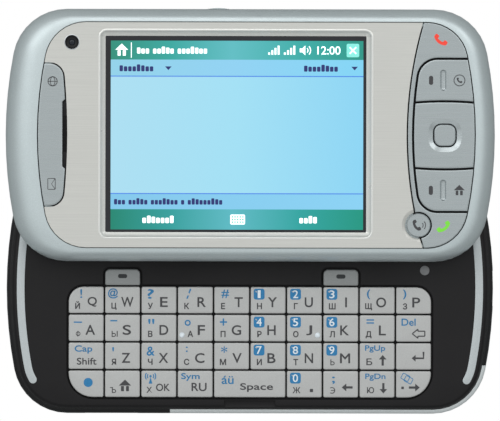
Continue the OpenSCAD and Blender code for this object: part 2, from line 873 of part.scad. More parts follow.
// A key beside the screen, standing on the frame with room to travel
module front_cap() {
    color("#aab0b4") open() slab(front_key_bottom, front_key_top) children();
}

// Trough with round ends, pressed into a key
module key_groove(side) {
    half = groove[0] / 2;
    bow = (half * half + groove[2] * groove[2]) / (2 * groove[2]);
    reach = groove[1] / 2 - half;
    open() translate([groove_x, side * groove_y, front_key_top + bow - groove[2]]) {
        rotate([90, 0, 0]) cylinder(r = bow, h = 2 * reach, center = true);
        for (end = [-1, 1]) translate([0, end * reach, 0]) sphere(r = bow);
    }
}

module shortcut_rocker() {
    front_cap() difference() {
        rocker_plan(front_gap / 2);
        notch_plan();
    }
}

module call_end_bar() {
    front_cap() difference() {
        cluster_plan(front_gap / 2);
        block_plan(-front_gap / 2);
        round_key_plan(-round_key_gap);
    }
}

module soft_key_beside(side) {
    difference() {
        front_cap() difference() {
            block_plan(front_gap / 2);
            nav_band(-front_gap / 2);
            translate([0, side > 0 ? -far : 0]) square([far, far]);
        }
        key_groove(side);
    }
}

module ok_key() {
    soft_key_beside(1);
}

module start_key() {
    soft_key_beside(-1);
}

function nav_square(grow) =
    rounded_box([nav_x, 0] - [nav_key, nav_key] / 2, [nav_x, 0] + [nav_key, nav_key] / 2,
                [1, 1, 1, 1] * nav_corner, -grow, 5);

module nav_pad() {
    difference() {
        front_cap() intersection() {
            block_plan(front_gap / 2);
            nav_band(front_gap / 2);
        }
        // Dished hole for the middle key
        open() slab(plate_bottom, far) polygon(nav_square(front_gap / 2));
        open() loft([at_height(nav_square(front_gap / 2), front_key_top - nav_dish_depth),
                     at_height(nav_square(front_gap / 2 + nav_dish), front_key_top + cut)]);
    }
}

module nav_center() {
    color("#b4b9bc") open()
        loft([at_height(nav_square(0), front_key_bottom),
              at_height(nav_square(0), front_key_top - front_bevel),
              at_height(nav_square(-front_bevel), front_key_top)]);
}

module video_call_key() {
    color("#aab0b4") open() translate([round_key.x, round_key.y, 0]) {
        translate([0, 0, front_key_bottom])
            cylinder(d = round_key_diameter, h = front_cap_height - front_bevel);
        translate([0, 0, front_key_top - front_bevel - cut])
            cylinder(d1 = round_key_diameter, d2 = round_key_diameter - 2 * front_bevel,
                     h = front_bevel + cut);
    }
}

// Channel for a guide shoe, closed at both ends
module channel() {
    slot_half = shoe_stem / 2 + slide_clearance;
    head_half = shoe_head / 2 + slide_clearance;
    head_bottom = carriage_bottom + channel_lip;
    box_between([shoe_x - slot_half, -channel_end, carriage_bottom - cut],
                [shoe_x + slot_half, channel_end, head_bottom + cut]);
    box_between([shoe_x - head_half, -channel_end, head_bottom],
                [shoe_x + head_half, channel_end,
                 head_bottom + shoe_head_height + 2 * slide_clearance]);
}

module slide_carriage() {
    color("#3a3c40") open() difference() {
        slab(carriage_bottom, carriage_top) polygon(body_outline(carriage_inset));
        both_sides() channel();
    }
}

base_housing();
side_band();
keyboard_deck();
mainboard();
battery();
battery_cover();
stylus();
jog_wheel();
slide_carriage();
front_frame();
face_plate();
display_module();
shortcut_rocker();
call_end_bar();
ok_key();
nav_pad();
nav_center();
start_key();
video_call_key();
for (s = SOFT_KEYS)
    soft_key(s[1]);
for (row = [0:len(ROWS) - 1])
    for (k = [0:len(ROWS[row]) - 1])
        keyboard_key(row, k);
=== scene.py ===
"""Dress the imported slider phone: paints, printed legends, the lit screen and the fine trim.

Lengths in this script are millimetres, turned into metres when a mesh is made. Places are
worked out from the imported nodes' own boxes wherever a node gives them.
"""

from __future__ import annotations

import logging
import math
from dataclasses import dataclass, field
from enum import Enum
from functools import partialmethod
from typing import Callable, Iterable, Sequence

import bmesh
import bpy
from mathutils import Matrix, Vector


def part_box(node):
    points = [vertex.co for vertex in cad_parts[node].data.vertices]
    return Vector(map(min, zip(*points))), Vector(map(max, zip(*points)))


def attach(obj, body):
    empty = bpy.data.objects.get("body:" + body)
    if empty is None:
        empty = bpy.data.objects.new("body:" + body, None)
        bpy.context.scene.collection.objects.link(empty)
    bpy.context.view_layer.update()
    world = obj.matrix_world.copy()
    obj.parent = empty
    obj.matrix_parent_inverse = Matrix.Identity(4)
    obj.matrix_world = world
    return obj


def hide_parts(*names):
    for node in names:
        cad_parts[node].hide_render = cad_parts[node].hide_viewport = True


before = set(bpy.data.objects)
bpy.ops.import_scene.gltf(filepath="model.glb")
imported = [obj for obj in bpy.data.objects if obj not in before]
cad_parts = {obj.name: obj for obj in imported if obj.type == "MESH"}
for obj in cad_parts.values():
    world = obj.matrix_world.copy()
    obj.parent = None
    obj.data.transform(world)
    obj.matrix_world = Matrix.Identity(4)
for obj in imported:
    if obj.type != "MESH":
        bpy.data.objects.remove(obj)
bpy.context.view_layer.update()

MM = 0.001
LOG = logging.getLogger("slider_phone")
TOP_ALLOWANCE = 0.02  # how much lower the dressed front keys are, in millimetres: room for print
SAME_POINT = 2e-6  # packed points nearer than this, in metres, are one
LEVEL, UPRIGHT = 0.99, 0.2  # the least Z of a level face's normal, the most of an upright one's
CREASE, RING_CREASE = 50, 35  # sharper edges of a drawn solid, in degrees, stay crisp
WHITE = (1.0, 1.0, 1.0, 1.0)

Point = tuple[float, float]
Colour = tuple[float, float, float]


# ------------------------------------------------------------------ small helpers


def srgb(red: int, green: int, blue: int) -> Colour:
    """Turn a display colour, 0 to 255, into linear light."""

    def linear(value: int) -> float:
        share = value / 255
        return share / 12.92 if share <= 0.04045 else ((share + 0.055) / 1.055) ** 2.4

    return (linear(red), linear(green), linear(blue))


def scaled(colour: Colour, factor: float) -> Colour:
    """Make a colour lighter or darker."""
    return tuple(min(1.0, value * factor) for value in colour)


@dataclass(frozen=True)
class Box:
    """A box in millimetres, such as a node's at rest."""

    low: Vector
    high: Vector

    @classmethod
    def of(cls, node: str) -> "Box":
        """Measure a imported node."""
        low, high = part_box(node)
        return cls(low / MM, high / MM)

    @classmethod
    def spanning(cls, low: Sequence[float], high: Sequence[float]) -> "Box":
        """The box between two corners."""
        return cls(Vector(low), Vector(high))

    @property
    def centre(self) -> Vector:
        """The middle of the box."""
        return (self.low + self.high) / 2

    @property
    def size(self) -> Vector:
        """The lengths of the box's sides."""
        return self.high - self.low


def link_mesh(name: str, mesh: bpy.types.Mesh) -> bpy.types.Object:
    """Put a mesh into the scene as an object at the origin."""
    obj = bpy.data.objects.new(name, mesh)
    bpy.context.scene.collection.objects.link(obj)
    return obj


def settle(piece: bpy.types.Object, body: str,
           replaces: Sequence[str] = ()) -> None:
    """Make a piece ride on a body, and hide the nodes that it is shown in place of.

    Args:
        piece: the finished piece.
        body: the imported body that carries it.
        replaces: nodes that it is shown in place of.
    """
    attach(piece, body)
    if replaces:
        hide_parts(*replaces)
    LOG.info("piece %s on %s", piece.name, body)


def evaluated(obj: bpy.types.Object) -> bpy.types.Mesh:
    """The mesh that an object's modifiers, or its characters, make."""
    graph = bpy.context.evaluated_depsgraph_get()
    return bpy.data.meshes.new_from_object(obj.evaluated_get(graph))


def plain_mesh(obj: bpy.types.Object) -> bpy.types.Object:
    """Swap an object's modifiers for the mesh that they make."""
    mesh = evaluated(obj)
    obj.modifiers.clear()
    obj.data = mesh
    return obj


def smooth_with_creases(mesh: bmesh.types.BMesh, crease: float) -> None:
    """Shade faces smooth, and keep each edge sharper than crease (radians) as an edge."""
    for face in mesh.faces:
        face.smooth = True
    for edge in mesh.edges:
        edge.smooth = len(edge.link_faces) == 2 and edge.calc_face_angle() < crease


def roll_rim(work: bmesh.types.BMesh, width: float,
             drop: float) -> list[bmesh.types.BMEdge]:
    """Roll the rim of a flat top down to the walls round it, and leave hollows in it alone.

    Args:
        work: the mesh, in metres.
        width: how far in the rolled rim starts, in millimetres.
        drop: how far the rim falls.

    Returns:
        The edges between the rolled rim and the flat top.
    """
    level = max(v.co.z for v in work.verts)
    tops = [f for f in work.faces
            if f.normal.z > LEVEL and f.calc_center_median().z > level - 0.01 * MM]
    walls = [v.co.copy() for v in {v for f in tops for v in f.verts}
             if any(abs(f.normal.z) < UPRIGHT for f in v.link_faces)]
    rings, reach = 3, 3.0  # the roll's steps, and how many steps from a wall it is still felt
    step = width / rings * MM
    for ring in range(rings + 1):
        fall = drop * MM * (1 - ring / rings) ** 2
        for vert in {v for f in tops for v in f.verts}:
            if any((vert.co - wall).xy.length < max(reach * ring * step, 1e-6)
                   for wall in walls):
                vert.co.z = level - fall - TOP_ALLOWANCE * MM
            elif not ring:
                vert.co.z = level - TOP_ALLOWANCE * MM
        if ring < rings:
            bmesh.ops.inset_region(work, faces=tops, thickness=step, use_even_offset=True)
    return [e for f in tops for e in f.edges if any(g not in tops for g in e.link_faces)]


def node_copy(node: str, name: str, finish: bpy.types.Material, bevel: float = 0,
              crease: float = 34, roll: Point | None = None) -> bpy.types.Object:
    """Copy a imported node's mesh, merge it and shade it as a moulded or machined piece.

    Args:
        node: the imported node.
        name: the new piece's name.
        finish: its material.
        bevel: width of the softened edges, or 0 for none.
        crease: angle in degrees past which an edge stays crisp.
        roll: width and drop of the rolled rim round a flat top, or None.

    Returns:
        The new object, not yet riding on a body.
    """
    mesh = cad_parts[node].data.copy()
    work = bmesh.new()
    work.from_mesh(mesh)
    bmesh.ops.remove_doubles(work, verts=work.verts, dist=SAME_POINT)
    if bevel:  # it needs coplanar triangles joined
        bmesh.ops.dissolve_limit(work, angle_limit=math.radians(0.4), verts=work.verts,
                                 edges=work.edges)
    crisp = roll_rim(work, *roll) if roll else []
    smooth_with_creases(work, math.radians(crease))
    for edge in crisp:
        edge.smooth = False
    work.to_mesh(mesh)
    work.free()
    mesh.materials.clear()
    mesh.materials.append(finish)
    piece = link_mesh(name, mesh)
    if bevel:
        soften = piece.modifiers.new("soft edges", "BEVEL")
        soften.width = bevel * MM
        soften.segments = 2
        soften.limit_method = "ANGLE"
        soften.angle_limit = math.radians(40)
        soften.harden_normals = True
        plain_mesh(piece)
    return piece


def shift(piece: bpy.types.Object, place: Vector) -> None:
    """Move a piece's mesh to a place in millimetres."""
    piece.data.transform(Matrix.Translation(place * MM))


def dress_node(node: str, finish: bpy.types.Material) -> None:
    """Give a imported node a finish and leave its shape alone."""
    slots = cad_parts[node].data.materials
    slots.clear()
    slots.append(finish)
    LOG.info("node %s keeps its shape", node)


# ------------------------------------------------------------------ outlines


def arc(centre: Point, radius: float, start: float, end: float, steps: int) -> list[Point]:
    """Points along an arc.

    Args:
        centre: its centre.
        radius: its radius.
        start: the angle of its first point, in degrees.
        end: the angle of its last point.
        steps: how many chords it is cut into.

    Returns:
        steps + 1 points.
    """
    angles = [math.radians(start + (end - start) * i / steps) for i in range(steps + 1)]
    return [(centre[0] + radius * math.cos(a), centre[1] + radius * math.sin(a)) for a in angles]


def rounded_rectangle(centre: Point, size: Point, radius: float, steps: int = 6) -> list[Point]:
    """Outline of a rectangle with round corners, counter-clockwise."""
    x, y = centre
    reach_x = size[0] / 2 - radius
    reach_y = size[1] / 2 - radius
    return (arc((x + reach_x, y + reach_y), radius, 0, 90, steps)
            + arc((x - reach_x, y + reach_y), radius, 90, 180, steps)
            + arc((x - reach_x, y - reach_y), radius, 180, 270, steps)
            + arc((x + reach_x, y - reach_y), radius, 270, 360, steps))


def disc_outline(centre: Point, radius: float, steps: int = 32) -> list[Point]:
    """Outline of a disc."""
    return arc(centre, radius, 0, 360, steps)[:-1]


@dataclass(frozen=True)
class Barrel:
    """The phone's outline: bowed short ends joined by round corners."""

    length: float = 112.5
    width: float = 58.0
    end_radius: float = 100.0
    corner_radius: float = 12.5

    @property
    def corner(self) -> Point:
        """Centre of the upper right corner's arc."""
        end_x = self.length / 2 - self.end_radius
        y = self.width / 2 - self.corner_radius
        reach = self.end_radius - self.corner_radius
        return (end_x + math.sqrt(reach * reach - y * y), y)

    @property
    def turn(self) -> float:
        """Angle in degrees at which the bowed end meets the corner."""
        x, y = self.corner
        return math.degrees(math.atan2(y, x - self.length / 2 + self.end_radius))

    def points(self, inset: float) -> list[Point]:
        """The outline moved inwards, counter-clockwise from the middle of the right end."""
        (x, y), turn = self.corner, self.turn
        end = (self.length / 2 - self.end_radius, 0)
        first = (arc(end, self.end_radius - inset, 0, turn, 8)
                 + arc((x, y), self.corner_radius - inset, turn, 90, 10)[1:])
        left = [(-px, py) for px, py in reversed(first)]
        lower = [(px, -py) for px, py in reversed(first + left)]
        return first + left + lower[1:-1]


# ------------------------------------------------------------------ shader building


NodeInputs = dict[str | int, object]


def set_inputs(tree: bpy.types.NodeTree, node: bpy.types.Node, inputs: NodeInputs) -> None:
    """Link a node's inputs to sockets or set them to values, by name or place."""
    for label, amount in inputs.items():
        if isinstance(amount, bpy.types.NodeSocket):
            tree.links.new(amount, node.inputs[label])
        else:
            node.inputs[label].default_value = amount


def add_node(tree: bpy.types.NodeTree, kind: str, inputs: NodeInputs | None = None,
             **settings: object) -> bpy.types.Node:
    """Add a node to a tree.

    Args:
        tree: the node tree.
        kind: the node's type.
        inputs: sockets or values for its inputs, by name or place.
        **settings: the node's own properties.

    Returns:
        The new node.
    """
    node = tree.nodes.new(kind)
    for label, amount in settings.items():
        setattr(node, label, amount)
    set_inputs(tree, node, inputs or {})
    return node


def colour_ramp(tree: bpy.types.NodeTree, factor: bpy.types.NodeSocket,
                stops: Sequence[tuple[float, Colour]]) -> bpy.types.NodeSocket:
    """Colours along a pattern: stops are places on it, from 0 to 1, and their colours."""
    node = add_node(tree, "ShaderNodeValToRGB", {"Fac": factor})
    elements = node.color_ramp.elements
    while len(elements) < len(stops):
        elements.new(0.5)
    for element, (at, colour) in zip(elements, stops):
        element.position = at
        element.color = (*colour, 1.0)
    return node.outputs["Color"]


class Shader:
    """A Principled material under construction, with its pattern on Object coordinates."""

    def __init__(self, name: str) -> None:
        """Start a material with this name."""
        self.material = bpy.data.materials.new(name)
        self.material.use_nodes = True
        self.tree = self.material.node_tree
        self.principled = self.tree.nodes["Principled BSDF"]
        self.place = add_node(self.tree, "ShaderNodeTexCoord").outputs["Object"]

    def value(self, **sockets: float | Colour) -> None:
        """Set the shader's own sockets, named with underscores for spaces."""
        for name, amount in sockets.items():
            socket = self.principled.inputs[name.replace("_", " ")]
            if isinstance(amount, tuple):
                socket.default_value = (*amount, 1.0)
            else:
                socket.default_value = amount

    def noise(self, scale: float, detail: float,
              along: tuple[float, float, float] = (1, 1, 1)) -> bpy.types.NodeSocket:
        """A noise pattern: scale is in cycles a metre, along stretches it on each axis."""
        stretched = add_node(self.tree, "ShaderNodeMapping", {"Scale": along, "Vector": self.place})
        return add_node(self.tree, "ShaderNodeTexNoise", {
            "Scale": scale, "Detail": detail, "Vector": stretched.outputs["Vector"]}).outputs["Fac"]

    def spread(self, factor: bpy.types.NodeSocket, low: float, high: float,
               start: float = 0.3, end: float = 0.7) -> bpy.types.NodeSocket:
        """Map a pattern's range from start to end onto low to high."""
        return add_node(self.tree, "ShaderNodeMapRange", {
            "From Min": start, "From Max": end, "To Min": low, "To Max": high,
            "Value": factor}).outputs["Result"]

    def axis(self, name: str) -> bpy.types.NodeSocket:
        """One of the Object coordinates, X, Y or Z, in metres."""
        return add_node(self.tree, "ShaderNodeSeparateXYZ", {"Vector": self.place}).outputs[name]

    def feed(self, socket: str, source: bpy.types.NodeSocket) -> None:
        """Drive one of the shader's sockets by a pattern."""
        self.tree.links.new(source, self.principled.inputs[socket])

    def tint(self, pattern: bpy.types.NodeSocket, colour: Colour, *shades: Point) -> None:
        """Colour the surface along a pattern: shades are places on it and their brightness."""
        self.feed("Base Color", colour_ramp(
            self.tree, pattern, [(at, scaled(colour, factor)) for at, factor in shades]))

    def roughen(self, pattern: bpy.types.NodeSocket, low: float, high: float) -> None:
        """Vary the roughness along a pattern, from low to high."""
        self.feed("Roughness", self.spread(pattern, low, high))

    def relief(self, height: bpy.types.NodeSocket, depth: float, strength: float) -> None:
        """Raise the surface by a pattern, depth in millimetres."""
        self.feed("Normal", add_node(self.tree, "ShaderNodeBump", {
            "Strength": strength, "Distance": depth * MM, "Height": height}).outputs["Normal"])


@dataclass(frozen=True)
class Finish:
    """A procedural finish; each kind says how its shader is dressed."""

    name: str

    def dress(self, shader: Shader) -> None:
        """Give the shader this finish's patterns and values."""
        raise NotImplementedError

    def material(self) -> bpy.types.Material:
        """Build the finish."""
        shader = Shader(self.name)
        self.dress(shader)
        return shader.material


@dataclass(frozen=True)
class PearlPaint(Finish):
    """Satin silver paint with fine metal flake, as sprayed on a moulded shell."""

    colour: Colour
    metal: float = 0.55
    gloss: float = 0.34
    flake: float = 0.05
    coat: float = 0.12

    def dress(self, shader: Shader) -> None:
        """Flakes in the colour and the relief, slow clouds in the gloss."""
        flakes = shader.noise(5200, 1.5)
        shader.tint(flakes, self.colour, (0.30, 1 - self.flake), (0.52, 1),
                    (0.72, 1 + 1.4 * self.flake))
        shader.roughen(shader.noise(240, 3), self.gloss - 0.03, self.gloss + 0.05)
        shader.relief(flakes, 0.004, 0.25)
        shader.value(Metallic=self.metal, Coat_Weight=self.coat, Coat_Roughness=0.25)


@dataclass(frozen=True)
class BrushedSheet(Finish):
    """Metal or metallic paint with fine straight brushing along X."""

    colour: Colour
    metal: float = 0.6
    gloss: float = 0.42
    contrast: float = 0.05

    def dress(self, shader: Shader) -> None:
        """Long strokes in the colour, the gloss and the relief."""
        strokes = shader.noise(60, 4, along=(1.0, 95.0, 20.0))
        shader.tint(strokes, self.colour, (0.28, 1 - self.contrast), (0.5, 1),
                    (0.74, 1 + self.contrast))
        shader.roughen(strokes, self.gloss - 0.05, self.gloss + 0.07)
        shader.relief(strokes, 0.006, 0.35)
        shader.value(Metallic=self.metal, Coat_Weight=0.08, Coat_Roughness=0.3)


@dataclass(frozen=True)
class MouldedPlastic(Finish):
    """Plastic from a spark-eroded mould: a fine even grain, a little shinier where handled."""

    colour: Colour
    gloss: float = 0.52
    grain: float = 0.012
    shine: float = 0.5

    def dress(self, shader: Shader) -> None:
        """Wide clouds of handling over a fine grain."""
        handled = shader.noise(45, 3)
        shader.tint(handled, self.colour, (0.3, 0.88), (0.7, 1.14))
        shader.roughen(handled, self.gloss + 0.05, self.gloss - 0.07)
        shader.relief(shader.noise(3600, 2), self.grain, 0.5)
        shader.value(Specular_IOR_Level=self.shine)


@dataclass(frozen=True)
class PrintedInk(Finish):
    """Pad-printed ink: matt, a little uneven in cover."""

    colour: Colour
    lit: float = 0.0

    def dress(self, shader: Shader) -> None:
        """Uneven cover, and light of its own: the screen's picture glows as the lit screen does,
        and the red and green key inks carry a faint painted glow.
        """
        shader.tint(shader.noise(1800, 2), self.colour, (0.3, 0.93), (0.7, 1.07))
        shader.value(Roughness=0.5)
        if self.lit:
            shader.value(Emission_Color=self.colour, Emission_Strength=self.lit)


@dataclass(frozen=True)
class LitPixels(Finish):
    """A lit area of the screen whose colour runs along X, seen through glass."""

    stops: tuple[tuple[float, Colour], ...]

    def dress(self, shader: Shader) -> None:
        """Colours between the stops, which are places in millimetres, from low to high."""
        low, high = self.stops[0][0], self.stops[-1][0]
        along = shader.spread(shader.axis("X"), 0, 1, low * MM, high * MM)
        shader.feed("Emission Color", colour_ramp(
            shader.tree, along, [((at - low) / (high - low), c) for at, c in self.stops]))
        shader.value(Base_Color=(0.005, 0.005, 0.006), Emission_Strength=0.97, Roughness=0.3,
                     Specular_IOR_Level=0.15)


@dataclass(frozen=True)
class DarkGlass(Finish):
    """Near-black glass or a lens, with a faint coating colour."""

    colour: Colour = (0.012, 0.012, 0.016)
    gloss: float = 0.08

    def dress(self, shader: Shader) -> None:
        """Faint smears in the colour and the gloss."""
        smears = shader.noise(70, 2)
        shader.tint(smears, self.colour, (0.3, 1), (0.7, 1.5))
        shader.roughen(smears, self.gloss, self.gloss + 0.05)
        shader.value(Coat_Weight=0.2, Coat_Roughness=0.03, Specular_IOR_Level=0.35)


@dataclass(frozen=True)
class BareMetal(Finish):
    """Plated or stamped metal, lightly clouded."""

    colour: Colour
    gloss: float = 0.3

    def dress(self, shader: Shader) -> None:
        """Clouds in the colour and the gloss over a fine grain."""
        cloud = shader.noise(160, 4)
        shader.tint(cloud, self.colour, (0.3, 0.9), (0.7, 1.06))
        shader.roughen(cloud, self.gloss - 0.04, self.gloss + 0.08)
        shader.relief(shader.noise(2600, 2), 0.004, 0.3)
        shader.value(Metallic=1.0)


class Ink(Enum):
    """The inks that legends and the picture are printed in."""

    DARK = PrintedInk("ink dark grey", srgb(66, 65, 68))
    BLUE = PrintedInk("ink blue", srgb(34, 124, 178))
    WHITE = PrintedInk("ink white", srgb(232, 240, 246))
    # the red and green inks on the keys glow faintly: a painted glow, since the keys are no lamp
    RED = PrintedInk("ink red", srgb(236, 66, 50), lit=0.25)
    GREEN = PrintedInk("ink green", srgb(120, 214, 60), lit=0.25)
    BLACK = PrintedInk("ink black", srgb(38, 40, 43))
    NAVY = PrintedInk("picture navy", srgb(26, 34, 96), lit=0.5)
    LINE = PrintedInk("picture line", srgb(54, 104, 190), lit=0.7)
    SKY = PrintedInk("picture sky", srgb(116, 200, 190), lit=0.7)
    TEAL = PrintedInk("picture teal", srgb(40, 160, 140), lit=0.7)
    PIXEL_WHITE = PrintedInk("picture white", srgb(236, 246, 246), lit=0.75)


class Finishes:
    """Every finish on the phone, each built once."""

    def __init__(self) -> None:
        """Build the finishes."""
        self.inks = {ink: ink.value.material() for ink in Ink}
        self.frame = PearlPaint("frame silver paint", srgb(206, 216, 218), gloss=0.4,
                                coat=0.05).material()
        self.trim = PearlPaint("trim silver paint", srgb(196, 202, 204), metal=0.3,
                               gloss=0.42).material()
        self.band = PearlPaint("side band silver paint", srgb(238, 243, 244), metal=0.15,
                               gloss=0.42).material()
        self.plate = BrushedSheet("face plate brushed", srgb(216, 215, 210), metal=0.5,
                                  gloss=0.38).material()
        # the screen rim is the plate's own edge, painted lighter and glossier than the plate: a
        # painted highlight
        self.rim = PearlPaint("screen rim painted highlight", srgb(232, 232, 228), metal=0.6,
                              gloss=0.3).material()
        self.front_keys = BrushedSheet("front key paint", srgb(182, 189, 191), metal=0.75,
                                       gloss=0.27, contrast=0.035).material()
        self.keycaps = PearlPaint("keycap paint", srgb(192, 192, 191), metal=0.3, gloss=0.42,
                                  flake=0.04).material()
        self.tabs = PearlPaint("soft key paint", srgb(148, 150, 150), metal=0.3, gloss=0.44,
                               flake=0.04).material()
        self.case = MouldedPlastic("case black", srgb(20, 20, 22), gloss=0.5,
                                   shine=0.35).material()
        self.deck = MouldedPlastic("deck black", srgb(20, 18, 20), gloss=0.55, grain=0.009,
                                   shine=0.3).material()
        # near-black, darker than the case: the rubber's own dark colour plus painted shade for the
        # gaps between the keys over it; the gauze and the power key's seam use it too
        self.mat = MouldedPlastic("key mat and gap shade", srgb(8, 8, 10), gloss=0.8).material()
        self.glass = DarkGlass("screen glass").material()
        self.lens = DarkGlass("lens glass", (0.006, 0.008, 0.014), 0.04).material()
        self.lamp = PrintedInk("status lens", srgb(128, 128, 130)).material()
        self.chrome = BareMetal("bright metal", srgb(205, 208, 212), 0.16).material()
        self.chassis = BareMetal("chassis metal", srgb(86, 88, 92), 0.42).material()
        self.socket = BareMetal("socket metal", srgb(170, 172, 176), 0.28).material()
        self.battery = MouldedPlastic("battery wrap", srgb(52, 55, 60), gloss=0.4).material()
        self.board = MouldedPlastic("board lacquer", srgb(30, 84, 52), gloss=0.3).material()


# ------------------------------------------------------------------ printing


def set_type(words: str) -> tuple[list[Vector], list[list[int]]]:
    """Turn characters into flat faces.

    Args:
        words: the characters.

    Returns:
        The points, and the loops of the faces between them.
    """
    curve = bpy.data.curves.new("type", "FONT")
    curve.body = words
    curve.resolution_u = 6
    holder = link_mesh("type", curve)
    mesh = evaluated(holder)
    spots = [v.co.copy() for v in mesh.vertices]
    loops = [list(p.vertices) if p.normal.z > 0 else list(reversed(p.vertices))
             for p in mesh.polygons]
    bpy.data.objects.remove(holder)
    bpy.data.curves.remove(curve)
    bpy.data.meshes.remove(mesh)
    return spots, loops


def rim_of(loops: Sequence[Sequence[int]]) -> list[tuple[int, int]]:
    """The edges that only one face has."""
    runs = {(a, b) for loop in loops for a, b in zip(loop, loop[1:] + loop[:1])}
    return sorted((a, b) for a, b in runs if (b, a) not in runs)


@dataclass
class Printing:
    """Flat ink laid just over a surface, gathered into one mesh.

    Attributes:
        surface: gives the surface's height in millimetres at a place.
        lift: how far the ink stands over the surface.
        layer: how far one layer of ink stands over the one below.
    """

    WORD_HEIGHTS = (1.0, 0.72, 0.72, 0.86, 0.72)

    finishes: Finishes
    surface: Callable[[float, float], float]
    lift: float = 0.008
    layer: float = 0.006
    points: list[tuple[float, float, float]] = field(default_factory=list)
    faces: list[tuple[list[int], Ink]] = field(default_factory=list)

    def _add(self, outline: Sequence[Point], loops: Sequence[Sequence[int]], ink: Ink,
             level: int) -> None:
        """Add points and the faces between them."""
        first = len(self.points)
        rise = self.lift + level * self.layer
        self.points += [(x, y, self.surface(x, y) + rise) for x, y in outline]
        self.faces += [([first + i for i in loop], ink) for loop in loops]

    def area(self, outline: Sequence[Point], ink: Ink, level: int = 0) -> None:
        """Fill an outline, given counter-clockwise."""
        self._add(outline, [range(len(outline))], ink, level)

    def stroke(self, path: Sequence[Point], width: float, ink: Ink, level: int = 0,
               closed: bool = False) -> None:
        """Draw a line of even width along a path."""
        count = len(path)
        left: list[Point] = []
        right: list[Point] = []
        for i, (x, y) in enumerate(path):
            before = path[i - 1] if closed or i else path[i]
            after = path[(i + 1) % count] if closed or i < count - 1 else path[i]
            run = Vector((after[0] - before[0], after[1] - before[1])).normalized() * width / 2
            left.append((x - run.y, y + run.x))
            right.append((x + run.y, y - run.x))
        pairs = range(count if closed else count - 1)
        loops = [[count + i, count + (i + 1) % count, (i + 1) % count, i] for i in pairs]
        self._add(left + right, loops, ink, level)

    def patch(self, centre: Point, size: Point, radius: float, steps: int, ink: Ink,
              level: int = 0) -> None:
        """Fill a rectangle whose corners are rounded in a number of steps."""
        self.area(rounded_rectangle(centre, size, radius, steps), ink, level)

    def text(self, words: str, centre: Point, height: float, ink: Ink, level: int = 0,
             width: float | None = None, weight: float = 0.02) -> None:
        """Set plain characters, centred on their own ink.

        Args:
            words: the characters.
            centre: the middle of their ink.
            height: height of their ink.
            ink: what they are printed in.
            level: which layer of ink.
            width: width of their ink, or None for the type's own proportions.
            weight: how much bolder than the plain type, as a share of its height.
        """
        spots, loops = set_type(words)
        low = Vector((min(p.x for p in spots), min(p.y for p in spots)))
        high = Vector((max(p.x for p in spots), max(p.y for p in spots)))
        size, middle = high - low, (low + high) / 2
        scale = Vector((height / size.y, height / size.y))
        if width:
            scale.x = width / size.x
        placed = [(centre[0] + (p.x - middle.x) * scale.x,
                   centre[1] + (p.y - middle.y) * scale.y) for p in spots]
        self._add(placed, loops, ink, level)
        for a, b in rim_of(loops):
            self.stroke([placed[a], placed[b]], 2 * weight * height, ink, level)

    def words(self, start: Point, lengths: Sequence[int], height: float, ink: Ink) -> None:
        """Small blocks that stand for words, without being letters.

        Args:
            start: left end of the first word, on its middle line.
            lengths: how many blocks each word has.
            height: height of a tall block.
            ink: what they are printed in.
        """
        x, pitch = start[0], 0.62 * height
        count = 0
        for length in lengths:
            for _ in range(length):
                tall = self.WORD_HEIGHTS[(3 * count + length) % len(self.WORD_HEIGHTS)]
                self.patch((x + 0.4 * pitch, start[1] + (tall - 1) * height / 2),
                           (0.8 * pitch, tall * height), 0.12 * height, 2, ink)
                x += pitch
                count += 1
            x += 0.7 * pitch

    def piece(self, name: str, body: str) -> None:
        """Make the printing one piece that rides on a body."""
        mesh = bpy.data.meshes.new(name)
        mesh.from_pydata([[c * MM for c in p] for p in self.points], [],
                         [loop for loop, _ in self.faces])
        used = list(dict.fromkeys(ink for _, ink in self.faces))
        for ink in used:
            mesh.materials.append(self.finishes.inks[ink])
        for polygon, (_, ink) in zip(mesh.polygons, self.faces):
            polygon.material_index = used.index(ink)
        settle(link_mesh(name, mesh), body)


@dataclass(frozen=True)
class Mark:
    """A printed mark.

    Attributes:
        draw: the method of Icons that draws it.
        at: its place from the middle of the key, or of the screen half.
        sizes: what the method takes between the place and the ink.
        ink: what it is printed in.
    """

    draw: Callable[..., None]
    at: Point
    sizes: tuple[object, ...] = ()
    ink: Ink = Ink.DARK


